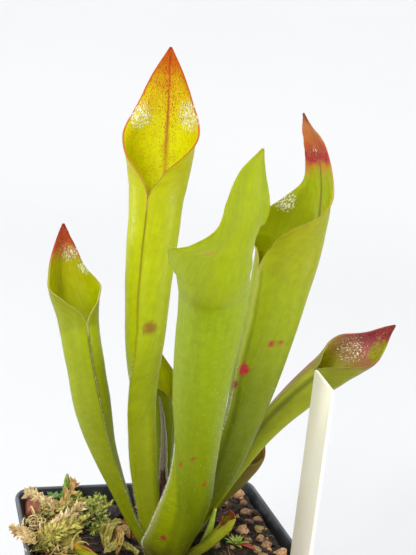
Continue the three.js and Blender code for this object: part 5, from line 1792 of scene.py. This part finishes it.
def add_spikes(bag, bases, ahead, lengths, radius, colour):
    """Many fine closed hairs with three sides."""
    ahead = unit(ahead)
    side = unit(np.cross(ahead, (0.3, 0.5, 0.81)))
    over = np.cross(ahead, side)
    corners = [bases - 0.1 * ahead + radius * swing(side, over, angle) for angle in (0, 2.09, 4.19)]
    corners.append(bases + ahead * np.asarray(lengths)[:, None])
    faces = np.array([(0, 2, 1), (0, 1, 3), (1, 2, 3), (2, 0, 3)])
    add_copies(bag, np.stack(corners, 1), faces, colour)


def dress_hairs(leaves):
    """Short pale hairs along the wings and margins, and thinly over the tubes."""
    bag = Bag()
    pale = linear((236, 238, 206))
    columns = np.linspace(-1, 1, 61)
    for key, edge_count, skin_count, top in (("front", 1100, 900, 0.62), ("left", 420, 500, 1.0),
                                             ("tall", 420, 420, 0.6), ("right", 380, 700, 0.7)):
        leaf = leaves[key]
        s = rng.uniform(4, leaf.mouth * top, edge_count)
        points = leaf.surface(s, columns)[:, -1]
        heading = -leaf.sections(s)[1] + 0.5 * rng.normal(size=(edge_count, 3))
        add_spikes(bag, points, heading, rng.uniform(0.25, 0.75, edge_count), 0.035, pale)
        s = rng.uniform(4, leaf.mouth, skin_count)
        skin = leaf.surface(s, columns)
        points = skin[np.arange(skin_count), rng.integers(2, 59, skin_count)]
        outward = unit(points - skin[:, ::6].mean(1))
        heading = outward + 0.4 * rng.normal(size=(skin_count, 3)) + (0, 0, 0.4)
        add_spikes(bag, points, heading, rng.uniform(0.15, 0.4, skin_count), 0.03, pale)
    bag.build("leaf_hairs", HAIR, "leaf_green")


def dress_nectar(leaves):
    """Beads of nectar inside the leaning hood."""
    leaf = leaves["leaning"]
    count = 260
    s = leaf.mouth + (leaf.total - leaf.mouth) * rng.uniform(-0.1, 0.72, count)
    skin = leaf.surface(s, np.linspace(-0.9, 0.9, 41), SKIN)
    points = skin[np.arange(count), rng.integers(2, 39, count)]
    sizes = 0.08 + 0.16 * rng.uniform(0, 1, count) ** 2
    tones = palette(((150, 70, 84), (190, 110, 110)), count)
    bag = Bag()
    add_lumps(bag, points, sizes, (1, 1, 0.8), 0.3, tones, 2, 0.05)
    bag.build("nectar_beads", BEAD, "leaf_purple")


# Studio

FLOOR_FLAT = 0.7
FLOOR_REACH = 4.2
FLOOR_RISE = 3.0
CENTRE_PAINTED_SHADE, FAR_WHITE = (0.72, 0.725, 0.735), (0.975, 0.976, 0.98)
LAMP_TARGET = Vector((0, 0, 0.12))


def make_floor():
    """A pale floor that curves up into its own backdrop, with painted shade towards its middle."""
    rings, sides = 40, 96
    radius = FLOOR_REACH * np.linspace(0, 1, rings + 1)[1:] ** 1.5
    height = FLOOR_RISE * np.clip((radius - FLOOR_FLAT) / (FLOOR_REACH - FLOOR_FLAT), 0, 1) ** 2.2
    angle = np.arange(sides) * 2 * math.pi / sides
    points = [(0, 0, 0)]
    for r, z in zip(radius, height):
        points += [(r * math.cos(a), r * math.sin(a), z) for a in angle]
    rows = np.arange(rings * sides).reshape(rings, sides) + 1
    faces = [[0, int(a), int(b)] for a, b in zip(rows[0], np.roll(rows[0], -1))]
    for a, b in zip(rows[:-1], rows[1:]):
        faces += ring_faces(a, b).tolist()
    mesh = bpy.data.meshes.new("floor")
    mesh.from_pydata(points, [], faces)
    mesh.shade_smooth()
    n = Nodes("studio_floor")
    coordinates = n.object_coordinates()
    away = n.add("VectorMath", operation="LENGTH")
    n.feed(coordinates, away.inputs[0])
    # Painted shade: the floor is darker near the middle, to even out the lamps' pool of light there
    pale = n.blend(CENTRE_PAINTED_SHADE, FAR_WHITE, n.span(away.outputs["Value"], 0.15, 1.5, 0.0, 1.0))
    uneven = n.span(n.noise(coordinates, 3, 2), 0, 1, 0.985, 1.0)
    mesh.materials.append(n.finish(n.shaded(pale, uneven), 0.8))
    add_object("floor", mesh)


def make_studio():
    scene = bpy.context.scene
    scene.view_settings.view_transform = "Standard"
    world = bpy.data.worlds.new("studio")
    world.use_nodes = True
    background = world.node_tree.nodes["Background"]
    background.inputs["Color"].default_value = (0.985, 0.99, 1.0, 1)
    background.inputs["Strength"].default_value = 0.95
    scene.world = world
    for name, place, size, power in (
        ("key", (-0.55, -0.45, 0.75), 0.22, 3.6),
        ("front", (-0.4, -0.7, 0.14), 0.1, 0.7),
        ("fill", (0.65, -0.42, 0.2), 0.1, 2.0),
        ("side", (-0.68, 0.42, 0.14), 0.1, 1.6),
        ("top", (0.15, 0.35, 0.9), 0.6, 1.4),
    ):
        data = bpy.data.lights.new(name, "AREA")
        data.size = size
        data.energy = power
        lamp = add_object(name, data)
        lamp.location = place
        aim = LAMP_TARGET - lamp.location
        lamp.rotation_euler = aim.to_track_quat("-Z", "Y").to_euler()
    make_floor()


make_camera()
make_studio()
leaves = dress_leaves()
dress_pot()
dress_soil()
dress_grains()
dress_green_moss()
dress_shoots()
dress_dry_back()
dress_dry_front()
dress_rim_moss()
dress_scraps()
dress_chip()
dress_seedling()
dress_young_leaf()
dress_withered()
dress_label()
dress_hairs(leaves)
dress_nectar(leaves)
